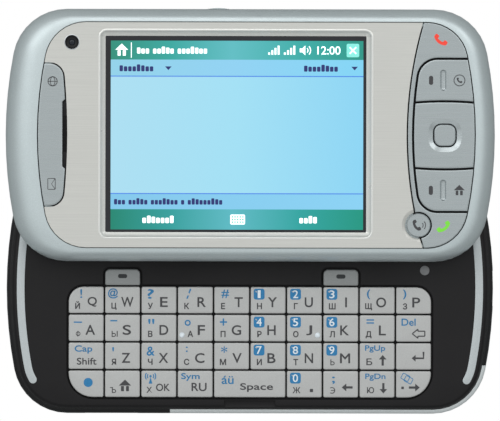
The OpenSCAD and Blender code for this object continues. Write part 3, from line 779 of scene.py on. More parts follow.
class Icons:
    """Small plain symbols, drawn from strokes and areas."""

    def __init__(self, printing: Printing) -> None:
        """Draw with this printing."""
        self.printing = printing

    def draw(self, marks: Iterable[Mark], middle: Point) -> None:
        """Print marks round a middle."""
        for mark in marks:
            place = (middle[0] + mark.at[0], middle[1] + mark.at[1])
            mark.draw(self, place, *mark.sizes, ink=mark.ink)

    def lettering(self, centre: Point, words: str, height: float, width: float | None = None,
                  weight: float = 0.02, ink: Ink = Ink.DARK) -> None:
        """Plain characters."""
        self.printing.text(words, centre, height, ink, width=width, weight=weight)

    def tile(self, centre: Point, digit: str, ink: Ink) -> None:
        """A number in white on a rounded tile."""
        self.printing.patch(centre, (2.5, 2.5), 0.55, 6, ink)
        self.printing.text(digit, centre, 1.75, Ink.WHITE, level=1,
                           width=0.6 if digit == "1" else 1.15)

    def patch(self, centre: Point, size: Point, radius: float, steps: int, ink: Ink) -> None:
        """A rectangle with round corners."""
        self.printing.patch(centre, size, radius, steps, ink)

    def disc(self, centre: Point, radius: float, ink: Ink) -> None:
        """A round spot."""
        self.printing.area(disc_outline(centre, radius), ink)

    def ring(self, centre: Point, radius: float, ink: Ink) -> None:
        """A circle."""
        self.printing.stroke(disc_outline(centre, radius), 0.2, ink, closed=True)

    def arrow(self, centre: Point, length: float, turn: float, ink: Ink) -> None:
        """A solid arrow, pointing along +X before it is turned (degrees)."""
        neck, tail, barb, stem = 0.08 * length, -length / 2, 0.36 * length, 0.26
        shape = [(tail, -stem), (neck, -stem), (neck, -barb), (-tail, 0), (neck, barb),
                 (neck, stem), (tail, stem)]
        self.printing.area(self._turned(shape, centre, turn), ink)

    def outlined_arrow(self, centre: Point, length: float, ink: Ink) -> None:
        """A hollow arrow that points left."""
        tip, neck, half, barb = length / 2, -0.05 * length, 0.2 * length, 0.36 * length
        shape = self._turned([(tip, -half), (tip, half), (neck, half), (neck, barb), (-tip, 0),
                              (neck, -barb), (neck, -half)], centre, 0)
        for start, end in zip(shape, shape[1:] + shape[:1]):
            self.printing.stroke([start, end], 0.27, ink)

    def enter(self, centre: Point, size: float, ink: Ink) -> None:
        """The return sign: down, then left to an arrowhead."""
        x, y = centre
        low = y - 0.12 * size
        self.printing.stroke([(x + size / 2, y + 0.45 * size), (x + size / 2, low),
                              (x - 0.3 * size, low)], 0.44, ink)
        self.printing.area([(x - 0.55 * size, low), (x - 0.2 * size, y - 0.42 * size),
                            (x - 0.2 * size, y + 0.18 * size)], ink)

    def _upright(self, x: float, y: float, height: float, ink: Ink) -> None:
        """The upright of a small letter."""
        self.printing.stroke([(x, y + height / 2), (x, y - 0.53 * height)], 0.22, ink)

    def soft_sign(self, centre: Point, height: float, ink: Ink) -> None:
        """The letter that looks like a b without its ascender's serif."""
        x, y = centre
        bowl = arc((x + 0.05, y - 0.2 * height), 0.27 * height, -90, 90, 8)
        left = x - 0.28 * height
        self._upright(left, y, height, ink)
        self.printing.stroke([(left, y - 0.47 * height), *bowl, (left, y + 0.07 * height)],
                             0.2, ink)

    def hard_vowel(self, centre: Point, height: float, ink: Ink) -> None:
        """The letter made of a soft sign and an upright."""
        x, y = centre
        self.soft_sign((x - 0.12, y), height, ink)
        self._upright(x + 0.68, y, height, ink)

    def staffed_ring(self, centre: Point, height: float, ink: Ink) -> None:
        """The letter made of a ring with an upright through it."""
        x, y = centre
        for end in (-270, 90):
            self.printing.stroke(arc((x + 0.06, y), 0.34 * height, -90, end, 10), 0.17, ink)
        self.printing.stroke([(x, y + height / 2), (x, y - height / 2)], 0.2, ink)

    def round_letter(self, centre: Point, height: float, ink: Ink) -> None:
        """The letter that looks like an e turned round."""
        x, y = centre
        self.printing.stroke(arc((x - 0.12, y), 0.44 * height, -125, 125, 16), 0.2, ink)
        self.printing.stroke([(x - 0.35, y), (x + 0.45, y)], 0.18, ink)

    def house(self, centre: Point, size: float, ink: Ink) -> None:
        """A small house, the sign for a start page."""
        x, y = centre
        self.printing.area([(x - 0.55 * size, y + 0.02 * size), (x + 0.55 * size, y + 0.02 * size),
                            (x, y + 0.55 * size)], ink)
        for side in (-1, 1):
            self.printing.patch((x + side * 0.22 * size, y - 0.25 * size),
                                (0.26 * size, 0.46 * size), 0.04 * size, 2, ink)

    def globe(self, centre: Point, radius: float, ink: Ink) -> None:
        """A globe with its middle meridian and equator."""
        x, y = centre
        self.ring(centre, radius, ink)
        self.printing.stroke([(x - radius, y), (x + radius, y)], 0.16, ink)
        oval = [(x + 0.5 * (px - x), py) for px, py in disc_outline(centre, radius, 24)]
        self.printing.stroke(oval, 0.16, ink, closed=True)

    def envelope(self, centre: Point, size: Point, ink: Ink) -> None:
        """An envelope, standing on its short side."""
        x, y = centre
        right, half = x + size[0] / 2, size[1] / 2
        self.printing.stroke(rounded_rectangle(centre, size, 0.12, 2), 0.16, ink, closed=True)
        self.printing.stroke([(right, y + half), (x, y), (right, y - half)], 0.14, ink)

    def handset(self, centre: Point, size: float, turn: float, ink: Ink) -> None:
        """A telephone handset: a bowed grip with a swelling at each end."""
        grip = arc((0, 0.62 * size), 0.82 * size, 232, 308, 8)
        self.printing.stroke(self._turned(grip, centre, turn), 0.24 * size, ink)
        for side in (-1, 1):
            end = rounded_rectangle((side * 0.42 * size, 0.02 * size),
                                    (0.34 * size, 0.34 * size), 0.1 * size, 3)
            self.printing.area(self._turned(end, centre, turn), ink, 1)

    def waves(self, centre: Point, ink: Ink) -> None:
        """Two sound waves to the right of a handset."""
        for radius in (0.75, 1.3):
            self.printing.stroke(arc(centre, radius, -42, 42, 6), 0.2, ink)

    def aerial(self, centre: Point, size: float, ink: Ink) -> None:
        """A mast with two waves on each side."""
        x, y = centre
        top = (x, y + 0.16 * size)
        self.printing.area([(x - 0.16 * size, y - 0.5 * size), (x + 0.16 * size, y - 0.5 * size),
                            (x, y + 0.1 * size)], ink)
        self.printing.area(disc_outline(top, 0.1 * size, 12), ink, 1)
        for radius in (0.28, 0.46):
            for middle in (0, 180):
                self.printing.stroke(arc(top, radius * size, middle - 38, middle + 38, 6),
                                     0.09 * size, ink)

    def cards(self, centre: Point, size: float, ink: Ink) -> None:
        """Two overlapping cards."""
        x, y = centre
        card = rounded_rectangle((0, 0), (0.62 * size, 0.46 * size), 0.05 * size, 2)
        for dx, dy in ((-0.12, 0.1), (0.12, -0.1)):
            self.printing.stroke(self._turned(card, (x + dx * size, y + dy * size), -28), 0.16,
                                 ink, closed=True)

    @staticmethod
    def _turned(shape: Sequence[Point], centre: Point, turn: float) -> list[Point]:
        """Turn a shape about the origin and move it to its centre."""
        spin = Matrix.Rotation(math.radians(turn), 2)
        moved = [spin @ Vector(p) + Vector(centre) for p in shape]
        return [(p.x, p.y) for p in moved]


# ------------------------------------------------------------------ geometry nodes


class Field:
    """A socket in a geometry tree that takes plain arithmetic."""

    def __init__(self, tree: "GeometryTree", socket: bpy.types.NodeSocket) -> None:
        """Wrap a socket."""
        self.tree = tree
        self.socket = socket

    def _with(self, operation: str, other: "Field | float", swap: bool = False) -> "Field":
        """Join this field and another by a math operation."""
        first, second = (other, self) if swap else (self, other)
        return self.tree.node("ShaderNodeMath", {0: first, 1: second}, operation=operation)

    __add__ = partialmethod(_with, "ADD")
    __sub__ = partialmethod(_with, "SUBTRACT")
    __rsub__ = partialmethod(_with, "SUBTRACT", swap=True)
    __mul__ = partialmethod(_with, "MULTIPLY")
    __truediv__ = partialmethod(_with, "DIVIDE")
    modulo = partialmethod(_with, "MODULO")
    rounded = partialmethod(_with, "ROUND", 0.0)


class GeometryTree:
    """A geometry node tree with named inputs, and the modifier that runs it."""

    def __init__(self, name: str, inputs: dict[str, str]) -> None:
        """Start a tree.

        Args:
            name: the tree's name.
            inputs: each input's name and its socket type.
        """
        self.tree = bpy.data.node_groups.new(name, "GeometryNodeTree")
        self.keys = {label: self.tree.interface.new_socket(label, in_out="INPUT",
                                                           socket_type=kind).identifier
                     for label, kind in inputs.items()}
        self.tree.interface.new_socket("Geometry", in_out="OUTPUT",
                                       socket_type="NodeSocketGeometry")
        self.entry = self.tree.nodes.new("NodeGroupInput")
        self.exit = self.tree.nodes.new("NodeGroupOutput")

    def input(self, label: str) -> Field:
        """One of the tree's inputs."""
        return Field(self, self.entry.outputs[label])

    def node(self, kind: str, inputs: NodeInputs | None = None,
             output: str | int = 0, **settings: object) -> Field:
        """Add a node and link or set its inputs.

        Args:
            kind: the node's type.
            inputs: values or fields for its inputs, by name or place.
            output: which output to return.
            **settings: the node's own properties.

        Returns:
            The chosen output.
        """
        made = add_node(self.tree, kind, self._plain(inputs or {}), **settings)
        return Field(self, made.outputs[output])

    def chosen(self, index: Field, values: Sequence[Field | float]) -> Field:
        """Pick the value whose place is index."""
        switch = add_node(self.tree, "GeometryNodeIndexSwitch", data_type="FLOAT")
        while len(switch.index_switch_items) < len(values):
            switch.index_switch_items.new()
        set_inputs(self.tree, switch, self._plain(dict(enumerate([index, *values]))))
        return Field(self, switch.outputs[0])

    @staticmethod
    def _plain(inputs: NodeInputs) -> NodeInputs:
        """Inputs with each field's own socket in its place."""
        return {label: amount.socket if isinstance(amount, Field) else amount
                for label, amount in inputs.items()}

    def finish(self, geometry: Field) -> None:
        """End the tree in Realize Instances and Set Material."""
        real = self.node("GeometryNodeRealizeInstances", {0: geometry})
        dressed = self.node("GeometryNodeSetMaterial", {"Geometry": real,
                                                        "Material": self.input("Material")})
        self.tree.links.new(dressed.socket, self.exit.inputs[0])

    def make(self, name: str, **inputs: object) -> bpy.types.Object:
        """Run the tree with these inputs, and return its result as a plain mesh object."""
        obj = link_mesh(name, bpy.data.meshes.new(name))
        modifier = obj.modifiers.new("shape", "NODES")
        modifier.node_group = self.tree
        for label, amount in inputs.items():
            modifier[self.keys[label.replace("_", " ")]] = amount
        return plain_mesh(obj)


class CapTree(GeometryTree):
    """A key cap: rings that follow a rounded outline up a wall, over an edge and up a dome."""

    EDGE = (0.0, 0.13, 0.5, 1.0)
    DOME = (0.05, 0.25, 0.5, 0.75, 1.0)

    def __init__(self) -> None:
        """Build the tree."""
        corners = {f"Radius {i}": "NodeSocketFloat" for i in range(4)}
        super().__init__("Key cap", {
            "Width": "NodeSocketFloat", "Depth": "NodeSocketFloat", **corners,
            "Corner points": "NodeSocketInt", "Height": "NodeSocketFloat",
            "Edge": "NodeSocketFloat", "Dome": "NodeSocketFloat",
            "Material": "NodeSocketMaterial"})
        outline = self._outline()
        count = self.node("GeometryNodeAttributeDomainSize", {0: outline}, "Point Count",
                          component="CURVE")
        insets, heights, shares = self._rings()
        rings = len(insets)
        grid = self.node("GeometryNodeMeshGrid", {
            "Size X": 1.0, "Size Y": 1.0, "Vertices X": count + 1.0, "Vertices Y": rings})
        place = self.node("GeometryNodeInputPosition")
        x = self.node("ShaderNodeSeparateXYZ", {0: place}, "X")
        y = self.node("ShaderNodeSeparateXYZ", {0: place}, "Y")
        step = ((x + 0.5) * count).rounded().modulo(count)
        ring = ((y + 0.5) * float(rings - 1)).rounded()
        spot = self._sampled(outline, self.node("GeometryNodeInputPosition"), step)
        run = self._sampled(outline, self.node("GeometryNodeInputTangent"), step)
        inward_x = self.node("ShaderNodeSeparateXYZ", {0: run}, "Y") * -1.0
        inward_y = self.node("ShaderNodeSeparateXYZ", {0: run}, "X")
        inset = self.chosen(ring, insets)
        share = self.chosen(ring, shares)
        left = 1.0 - share
        along_x = (self.node("ShaderNodeSeparateXYZ", {0: spot}, "X") + inward_x * inset) * left
        along_y = (self.node("ShaderNodeSeparateXYZ", {0: spot}, "Y") + inward_y * inset) * left
        moved = self.node("ShaderNodeCombineXYZ", {
            "X": along_x, "Y": along_y, "Z": self.chosen(ring, heights)})
        shell = self.node("GeometryNodeSetPosition", {"Geometry": grid, "Position": moved})
        merged = self.node("GeometryNodeMergeByDistance", {"Geometry": shell, "Distance": 2e-7})
        self.finish(self.node("GeometryNodeSetShadeSmooth", {0: merged}))

    def _outline(self) -> Field:
        """The rounded outline, with its own radius at each corner."""
        square = self.node("GeometryNodeCurvePrimitiveQuadrilateral", {
            "Width": self.input("Width"), "Height": self.input("Depth")}, mode="RECTANGLE")
        radius = self.chosen(self.node("GeometryNodeInputIndex"),
                             [self.input(f"Radius {i}") for i in range(4)])
        return self.node("GeometryNodeFilletCurve", {
            "Curve": square, "Count": self.input("Corner points"), "Radius": radius,
            "Limit Radius": True}, mode="POLY")

    def _rings(self) -> tuple[list[Field | float], list[Field | float], list[float]]:
        """Each ring's inset, its height below the top and its share of the way in."""
        edge, dome, height = self.input("Edge"), self.input("Dome"), self.input("Height")
        insets: list[Field | float] = [0.0, 0.0]
        heights: list[Field | float] = [height * -1.0, height * -1.0]
        shares = [1.0, 0.0]
        for turn in self.EDGE:
            angle = turn * math.pi / 2
            insets.append(edge * (1 - math.cos(angle)))
            heights.append(dome * -1.0 - edge * (1 - math.sin(angle)))
            shares.append(0.0)
        for share in self.DOME:
            insets.append(edge * 1.0)
            heights.append(dome * -((1 - share) ** 2))
            shares.append(share)
        return insets, heights, shares

    def _sampled(self, outline: Field, value: Field, index: Field) -> Field:
        """Read a vector from one of the outline's points."""
        return self.node("GeometryNodeSampleIndex", {
            "Geometry": outline, "Value": value, "Index": index},
            data_type="FLOAT_VECTOR", domain="POINT")


class RidgeTree(GeometryTree):
    """A ring of bars round an axis, for a knurled wheel."""

    def __init__(self) -> None:
        """Build the tree."""
        super().__init__("Knurl", {
            "Radius": "NodeSocketFloat", "Thickness": "NodeSocketFloat",
            "Bar radius": "NodeSocketFloat", "Count": "NodeSocketInt",
            "Material": "NodeSocketMaterial"})
        circle = self.node("GeometryNodeMeshCircle", {
            "Vertices": self.input("Count"), "Radius": self.input("Radius")})
        bar = self.node("GeometryNodeMeshCylinder", {
            "Vertices": 10, "Radius": self.input("Bar radius"),
            "Depth": self.input("Thickness")})
        bars = self.node("GeometryNodeInstanceOnPoints", {"Points": circle, "Instance": bar})
        self.finish(bars)


class GauzeTree(GeometryTree):
    """Crossed wires over a rectangle, for the gauze in the earpiece."""

    def __init__(self) -> None:
        """Build the tree."""
        super().__init__("Gauze", {
            "Width": "NodeSocketFloat", "Length": "NodeSocketFloat", "Pitch": "NodeSocketFloat",
            "Wire": "NodeSocketFloat", "Material": "NodeSocketMaterial"})
        width, length, pitch = (self.input(n) for n in ("Width", "Length", "Pitch"))
        sets = [self._wires(width, length, pitch, "X"), self._wires(length, width, pitch, "Y")]
        join = self.tree.nodes.new("GeometryNodeJoinGeometry")
        for wires in sets:
            self.tree.links.new(wires.socket, join.inputs[0])
        self.finish(Field(self, join.outputs[0]))

    def _wires(self, across: Field, along: Field, pitch: Field, axis: str) -> Field:
        """Parallel wires, spaced by the pitch along an axis."""
        count = (across / pitch).rounded()
        first = (across - (count - 1.0) * pitch) * -0.5
        line = self.node("GeometryNodeMeshLine", {
            "Count": count, "Start Location": self.node("ShaderNodeCombineXYZ", {axis: first}),
            "Offset": self.node("ShaderNodeCombineXYZ", {axis: pitch})}, mode="OFFSET")
        wire = self.input("Wire")
        size = self.node("ShaderNodeCombineXYZ", {
            "X": along, "Y": along, "Z": wire, axis: wire})
        bar = self.node("GeometryNodeMeshCube", {"Size": size})
        return self.node("GeometryNodeInstanceOnPoints", {"Points": line, "Instance": bar})


def finished(work: bmesh.types.BMesh, name: str, finish: bpy.types.Material, crease: float,
             unit: float = MM) -> bpy.types.Object:
    """Make a drawn mesh an object.

    Args:
        work: the mesh, which is freed.
        name: what to call the object.
        finish: its material.
        crease: edges sharper than this angle, in degrees, stay crisp.
        unit: the length in metres of what the mesh is drawn in.

    Returns:
        The new object, not yet riding on a body.
    """
    smooth_with_creases(work, math.radians(crease))
    bmesh.ops.scale(work, vec=(unit, unit, unit), verts=work.verts)
    mesh = bpy.data.meshes.new(name)
    work.to_mesh(mesh)
    work.free()
    mesh.materials.append(finish)
    return link_mesh(name, mesh)


def turned_profile(name: str, profile: Sequence[Point], centre: Vector,
                   finish: bpy.types.Material, steps: int = 48) -> bpy.types.Object:
    """Turn a profile about a vertical axis.

    Args:
        name: the piece's name.
        profile: radius and height pairs from the bottom up, first and last on the axis.
        centre: the axis's place and the profile's zero height.
        finish: the material.
        steps: how many facets round.

    Returns:
        The turned object.
    """
    work = bmesh.new()
    rings = []
    for radius, height in profile:
        if radius == 0:
            rings.append([work.verts.new((centre.x, centre.y, centre.z + height))])
            continue
        rings.append([work.verts.new((centre.x + x, centre.y + y, centre.z + height))
                      for x, y in disc_outline((0, 0), radius, steps)])
    for below, above in zip(rings, rings[1:]):
        for i in range(steps):
            j = (i + 1) % steps
            loop = [below[i % len(below)], below[j % len(below)],
                    above[j % len(above)], above[i % len(above)]]
            work.faces.new(list(dict.fromkeys(loop)))
    bmesh.ops.recalc_face_normals(work, faces=work.faces)
    return finished(work, name, finish, CREASE)


def looped_rings(name: str, rings: Sequence[Sequence[tuple[float, float, float]]],
                 finish: bpy.types.Material) -> bpy.types.Object:
    """Build a closed piece from rings that follow one another round its section.

    Args:
        name: what to call it.
        rings: rings of points, in millimetres, all with the same number of points.
        finish: its material.

    Returns:
        The new object.
    """
    work = bmesh.new()
    made = [[work.verts.new(point) for point in ring] for ring in rings]
    count = len(made[0])
    for i, ring in enumerate(made):
        other = made[(i + 1) % len(made)]
        for k in range(count):
            work.faces.new((ring[k], ring[(k + 1) % count], other[(k + 1) % count], other[k]))
    bmesh.ops.recalc_face_normals(work, faces=work.faces)
    return finished(work, name, finish, RING_CREASE)


def raised_area(name: str, outline: Sequence[Point], bottom: float, top: float, edge: float,
                finish: bpy.types.Material) -> bpy.types.Object:
    """Raise an outline into a low solid with softened upper edges."""
    work = bmesh.new()
    base = work.faces.new([work.verts.new((x * MM, y * MM, bottom * MM)) for x, y in outline])
    made = bmesh.ops.extrude_face_region(work, geom=[base])
    lifted = [v for v in made["geom"] if isinstance(v, bmesh.types.BMVert)]
    bmesh.ops.translate(work, vec=(0, 0, (top - bottom) * MM), verts=lifted)
    bmesh.ops.recalc_face_normals(work, faces=work.faces)
    rim = [e for e in work.edges if all(v in lifted for v in e.verts)]
    if edge:
        bmesh.ops.bevel(work, geom=rim, offset=edge * MM, segments=2, affect="EDGES", profile=0.5)
    return finished(work, name, finish, CREASE, unit=1.0)


# ------------------------------------------------------------------ screen half


@dataclass
class Picture:
    """The lit picture behind the glass: a plain page, with blocks in place of words.

    Attributes:
        middle_y: the middle of the screen half.
        level: height of the lit panel.
        low: the picture's lower edge, measured from the middle.
        high: its upper edge, measured so too.
    """

    finishes: Finishes
    body: str
    middle_y: float
    level: float
    left: float = -32.0
    right: float = 25.9
    low: float = -21.7
    high: float = 21.6

    def __post_init__(self) -> None:
        """Place the lower edges of the bars."""
        self.top, self.bottom = self.middle_y + self.high, self.middle_y + self.low
        self.title = self.top - 4.35
        self.sub = self.title - 4.1 + 0.3
        self.foot = self.bottom + 4.65
        self.note = self.foot + 3.6

    def build(self) -> None:
        """Light a title bar, a sub-bar, an empty page, a note and a foot, and mark them."""
        left, right = self.left, self.right
        dark, green, dull, middle = -18.4, -4.1, 11.5, (left + right) / 2
        bars = {
            "title_bar": (self.title, self.top, LitPixels("picture title", (
                (left, srgb(52, 146, 124)), (dark, srgb(58, 170, 162)),
                (green, srgb(98, 192, 198)), (dull, srgb(62, 176, 170)),
                (right, srgb(46, 152, 136))))),
            "sub_bar": (self.sub, self.title, LitPixels("picture sub-bar", (
                (left, srgb(148, 212, 236)), (middle, srgb(146, 212, 245)),
                (right, srgb(132, 215, 248))))),
            "page": (self.note, self.sub, LitPixels("picture page", (
                (left, srgb(174, 225, 244)), (middle, srgb(164, 226, 247)),
                (right, srgb(142, 215, 246))))),
            "note_bar": (self.foot, self.note, LitPixels("picture note", (
                (left, srgb(132, 202, 238)), (right, srgb(140, 212, 246))))),
            "foot_bar": (self.bottom, self.foot, LitPixels("picture foot", (
                (left, srgb(34, 136, 114)), (dark, srgb(52, 161, 158)),
                (green, srgb(94, 188, 198)), (dull, srgb(48, 166, 162)),
                (right, srgb(32, 152, 130))))),
        }
        for name, (low, high, finish) in bars.items():
            piece = raised_area(f"picture_{name}", [(left, low), (right, low), (right, high),
                                                    (left, high)],
                                self.level + 0.01, self.level + 0.03, 0, finish.material())
            settle(piece, self.body)
        self._marks()

    def _marks(self) -> None:
        """Blocks and signs that stand for words: only the clock's figure is lettering."""
        marks = Printing(self.finishes, lambda x, y: self.level + 0.03, lift=0.006)
        left, right, white = self.left, self.right, Ink.PIXEL_WHITE
        middle = (self.title + self.top) / 2
        Icons(marks).house((left + 2.5, middle), 2.7, white)
        marks.patch((left + 4.7, middle), (0.2, 3.5), 0.05, 2, white)
        marks.words((left + 6.0, middle), (3, 5, 7), 1.6, white)
        self._status_signs(marks, middle)
        middle = (self.sub + self.title) / 2
        for start, arrow in ((left + 2.0, left + 13.2), (right - 13.6, right - 2.0)):
            marks.words((start, middle), (8,), 1.6, Ink.NAVY)
            marks.area([(arrow - 0.75, middle + 0.35), (arrow, middle - 0.5),
                        (arrow + 0.75, middle + 0.35)], Ink.NAVY)
        for y in (self.sub, self.note):
            marks.patch(((left + right) / 2, y), (right - left, 0.22), 0.02, 1, Ink.LINE)
        marks.words((left + 0.8, (self.note + self.foot) / 2), (3, 5, 7, 1, 9), 1.45, Ink.NAVY)
        middle = (self.bottom + self.foot) / 2
        marks.words((left + 7.3, middle), (7,), 1.7, white)
        marks.words((right - 14.6, middle), (4,), 1.7, white)
        x = (left + right) / 2 + 0.2
        marks.patch((x, middle), (3.4, 2.3), 0.3, 3, white)
        for row in (-1, 0, 1):
            for column in (-2, -1, 0, 1, 2):
                marks.patch((x + column * 0.6, middle + row * 0.6), (0.34, 0.34), 0.05, 1,
                            Ink.TEAL, 1)
        marks.piece("picture_marks", self.body)

    def _status_signs(self, marks: Printing, middle: float) -> None:
        """Signal bars, a speaker, a plain clock figure and a closing cross."""
        right, white = self.right, Ink.PIXEL_WHITE
        for x in (right - 21.6, right - 18.0):
            for step in (1, 2, 3, 4):
                marks.patch((x + (step - 1) * 0.72, middle - 1.0 + 0.26 * step),
                            (0.46, 0.52 * step), 0.05, 2, white)
        back = right - 14.6
        throat, mouth, low, wide = back + 0.6, back + 1.3, 0.45, 1.15
        marks.area([(back, middle - low), (throat, middle - low), (mouth, middle - wide),
                    (mouth, middle + wide), (throat, middle + low), (back, middle + low)], white)
        for reach in (0.7, 1.3):
            marks.stroke(arc((back + 1.2, middle), reach, -45, 45, 6), 0.24, white)
        marks.text("12:00", (right - 7.9, middle), 1.85, white, weight=0.01)
        marks.patch((right - 2.4, middle), (2.9, 3.1), 0.35, 3, Ink.SKY)
        for tilt in (-0.75, 0.75):
            marks.stroke([(right - 3.15, middle - tilt), (right - 1.65, middle + tilt)], 0.34,
                         white, 1)


FRONT_MARKS = {
    "shortcut_rocker": (Mark(Icons.globe, (-45.3, 12.2), (1.05,)),
                        Mark(Icons.envelope, (-45.5, -11.3), ((1.7, 2.5),))),
    "call_end_bar": (Mark(Icons.handset, (43.6, 21.9), (2.9, -38), Ink.RED),
                     Mark(Icons.handset, (44.3, -20.9), (2.9, 38), Ink.GREEN)),
    "ok_key": (Mark(Icons.patch, (41.4, 12.6), ((0.95, 2.1), 0.45, 6)),
               Mark(Icons.ring, (47.9, 12.6), (1.25,)),
               Mark(Icons.handset, (47.9, 12.6), (1.3, -45))),
    "start_key": (Mark(Icons.patch, (41.4, -12.6), ((0.95, 2.1), 0.45, 6)),
                  Mark(Icons.house, (47.9, -12.6), (2.3,))),
    "video_call_key": (Mark(Icons.handset, (38.2, -20.6), (2.3, -58)),
                       Mark(Icons.waves, (38.9, -20.6))),
}


@dataclass
class ScreenHalf:
    """The sliding half: frame, face plate, touch screen and the keys beside it.

    Attributes:
        camera_place: the small camera's place, from the middle of the half.
        camera_radius: radius of its bowl.
        key_edge: width of the softened edges of the keys.
        key_roll: width and drop of their rolled rims.
        strip_roll: the same for the call/end bar, which has a thin strip.
        cluster_radius: radius of the arc on the left of the right-hand keys.
        cluster_gap: gap between that arc and the keys.
        mat: the mats' lower and upper faces, from the plate's underside.
        mat_margin: how far a mat reaches past the arc.
        slot: the earpiece's slot, from the middle of the half.
        slot_open: length of the part of it that has the gauze.
    """

    finishes: Finishes
    body: str = "display"
    camera_place: Point = (-40.9, 21.2)
    camera_radius: float = 1.5
    key_edge: float = 0.07
    key_roll: Point = (0.34, 0.07)
    strip_roll: Point = (0.26, 0.055)
    cluster_radius: float = 92.0
    cluster_gap: float = 0.24
    mat: Point = (0.005, 0.04)
    mat_margin: float = 0.35
    slot: Box = field(default_factory=lambda: Box.spanning((-43.05, -7.95, 0),
                                                           (-41.95, 8.25, 0)))
    slot_open: float = 8.2

    def __post_init__(self) -> None:
        """Measure where the half stands."""
        plate = Box.of("face_plate")
        self.middle_y = Box.of("slide_carriage").centre.y
        self.plate_top = plate.high.z
        self.floor = plate.low.z
        self.opening = Barrel(100.6, 52.0, 92.0, 9.6)
        self.opening_shift = 1.4
        self.cluster_left = Box.of("call_end_bar").low.x - self.cluster_gap
        self.key_top = Box.of("ok_key").high.z - TOP_ALLOWANCE
        self.glass_edge = Box.spanning((-33.2, self.middle_y - 22.3, self.floor),
                                       (26.6, self.middle_y + 22.7, self.floor))
        self.glass_top = self.floor - 0.05

    def at(self, x: float, y: float) -> Point:
        """A place on this half, measured from its middle."""
        return (x, y + self.middle_y)

    def build(self) -> None:
        """Build every piece of this half."""
        self.shells()
        self.key_mats()
        self.keys()
        self.earpiece()
        self.power_key()
        Picture(self.finishes, self.body, self.middle_y, self.glass_top).build()
        self.small_camera()
        self.legends()

    def shells(self) -> None:
        """The frame, the face plate and what shows of the inside."""
        settle(node_copy("front_frame", "frame_shell", self.finishes.frame, crease=30),
               self.body, ["front_frame"])
        settle(node_copy("face_plate", "brushed_plate", self.finishes.plate, bevel=0.1,
                         crease=20), self.body, ["face_plate"])
        settle(self.screen_rim(), self.body)
        dress_node("display_module", self.finishes.glass)
        dress_node("slide_carriage", self.finishes.chassis)

    def screen_rim(self) -> bpy.types.Object:
        """The pressed rim round the screen, which rolls over from the slope to the plate; it is
        finished lighter than the plate as a painted highlight.

        Returns:
            The rim, not yet riding on a body.
        """
        centre, size = self.glass_edge.centre.xy, self.glass_edge.size
        rise = self.plate_top - self.floor
        profile = ((0.0, -0.02, 0.25), (0.0, 0.03, 0.25), (0.35, 0.24, 0.6), (0.7, 0.46, 1.0),
                   (0.98, 0.66, 1.3), (1.12, rise, 1.45), (1.24, rise + 0.07, 1.6),
                   (1.34, rise + 0.09, 1.7), (1.46, rise + 0.07, 1.8), (1.6, rise + 0.01, 1.95),
                   (1.68, rise - 0.05, 2.0), (1.7, rise - 0.2, 2.0))
        rings = [[(x, y, self.floor + z) for x, y in
                  rounded_rectangle(centre, (size.x + 2 * out, size.y + 2 * out), radius, 8)]
                 for out, z, radius in profile]
        # the rim's lighter finish is a painted highlight on the plate's edge
        return looped_rings("screen_rim", rings, self.finishes.rim)

    def key_mats(self) -> None:
        """Black rubber under the keys beside the screen, made near-black so that it also paints the
        shade in the gaps between the keys, and a black line printed in the seam round the plate as
        painted shade.
        """
        outline = [(x + self.opening_shift, y) for x, y in self.opening.points(0.02)]
        centre = self.cluster_left + self.cluster_radius
        reach = self.cluster_radius + self.mat_margin
        right = [p for p in outline if math.hypot(p[0] - centre, p[1]) < reach]
        split = max(range(len(right)), key=lambda i: math.dist(right[i], right[i - 1]))
        right = right[split:] + right[:split]
        turns = [math.degrees(math.atan2(y, x - centre)) % 360
                 for x, y in (right[-1], right[0])]
        right += arc((centre, 0), reach, *turns, 24)[1:-1]
        edge, end = -41.8, 17.0
        left = sorted((p for p in outline if p[0] < edge and abs(p[1]) < end + 0.2),
                      key=lambda p: -p[1])
        low, high = (self.floor + rise for rise in self.mat)
        # the mats are real rubber, made near-black as painted shade in the gaps between the keys
        for name, rim in (("key_mat", right), ("rocker_mat", [(edge, end), *left, (edge, -end)])):
            piece = raised_area(name, [self.at(*p) for p in rim], low, high, 0,
                                self.finishes.mat)
            settle(piece, self.body)
        # a black line printed at the bottom of the gap round the plate: painted shade in the seam
        seam = Printing(self.finishes, lambda x, y: self.floor, lift=0.045)
        seam.stroke([self.at(x + self.opening_shift, y) for x, y in self.opening.points(0.2)],
                    0.3, Ink.BLACK, closed=True)
        seam.piece("plate_seam", self.body)

    def earpiece(self) -> None:
        """The sound slot beside the rocker: a dark floor with a fine gauze in its middle."""
        low, high = self.slot.low, self.slot.high
        middle = (low.y + high.y) / 2
        half = self.slot_open / 2
        level, under, past = self.floor + 0.06, 0.1, 0.2
        left, right = low.x - under, high.x + under
        for name, start, end in (("upper", middle + half, high.y + past),
                                 ("lower", low.y - past, middle - half)):
            outline = [self.at(*p) for p in ((left, start), (right, start), (right, end),
                                             (left, end))]
            settle(raised_area(f"earpiece_{name}", outline, level, level + 0.12, 0.02,
                               self.finishes.case), self.body)
        gauze = GauzeTree().make(
            "earpiece_gauze", Width=(high.x - low.x) * MM, Length=self.slot_open * MM,
            Pitch=0.27 * MM, Wire=0.07 * MM, Material=self.finishes.mat)
        x, y = self.at((low.x + high.x) / 2, middle)
        shift(gauze, Vector((x, y, self.floor - 0.35)))
        settle(gauze, self.body)

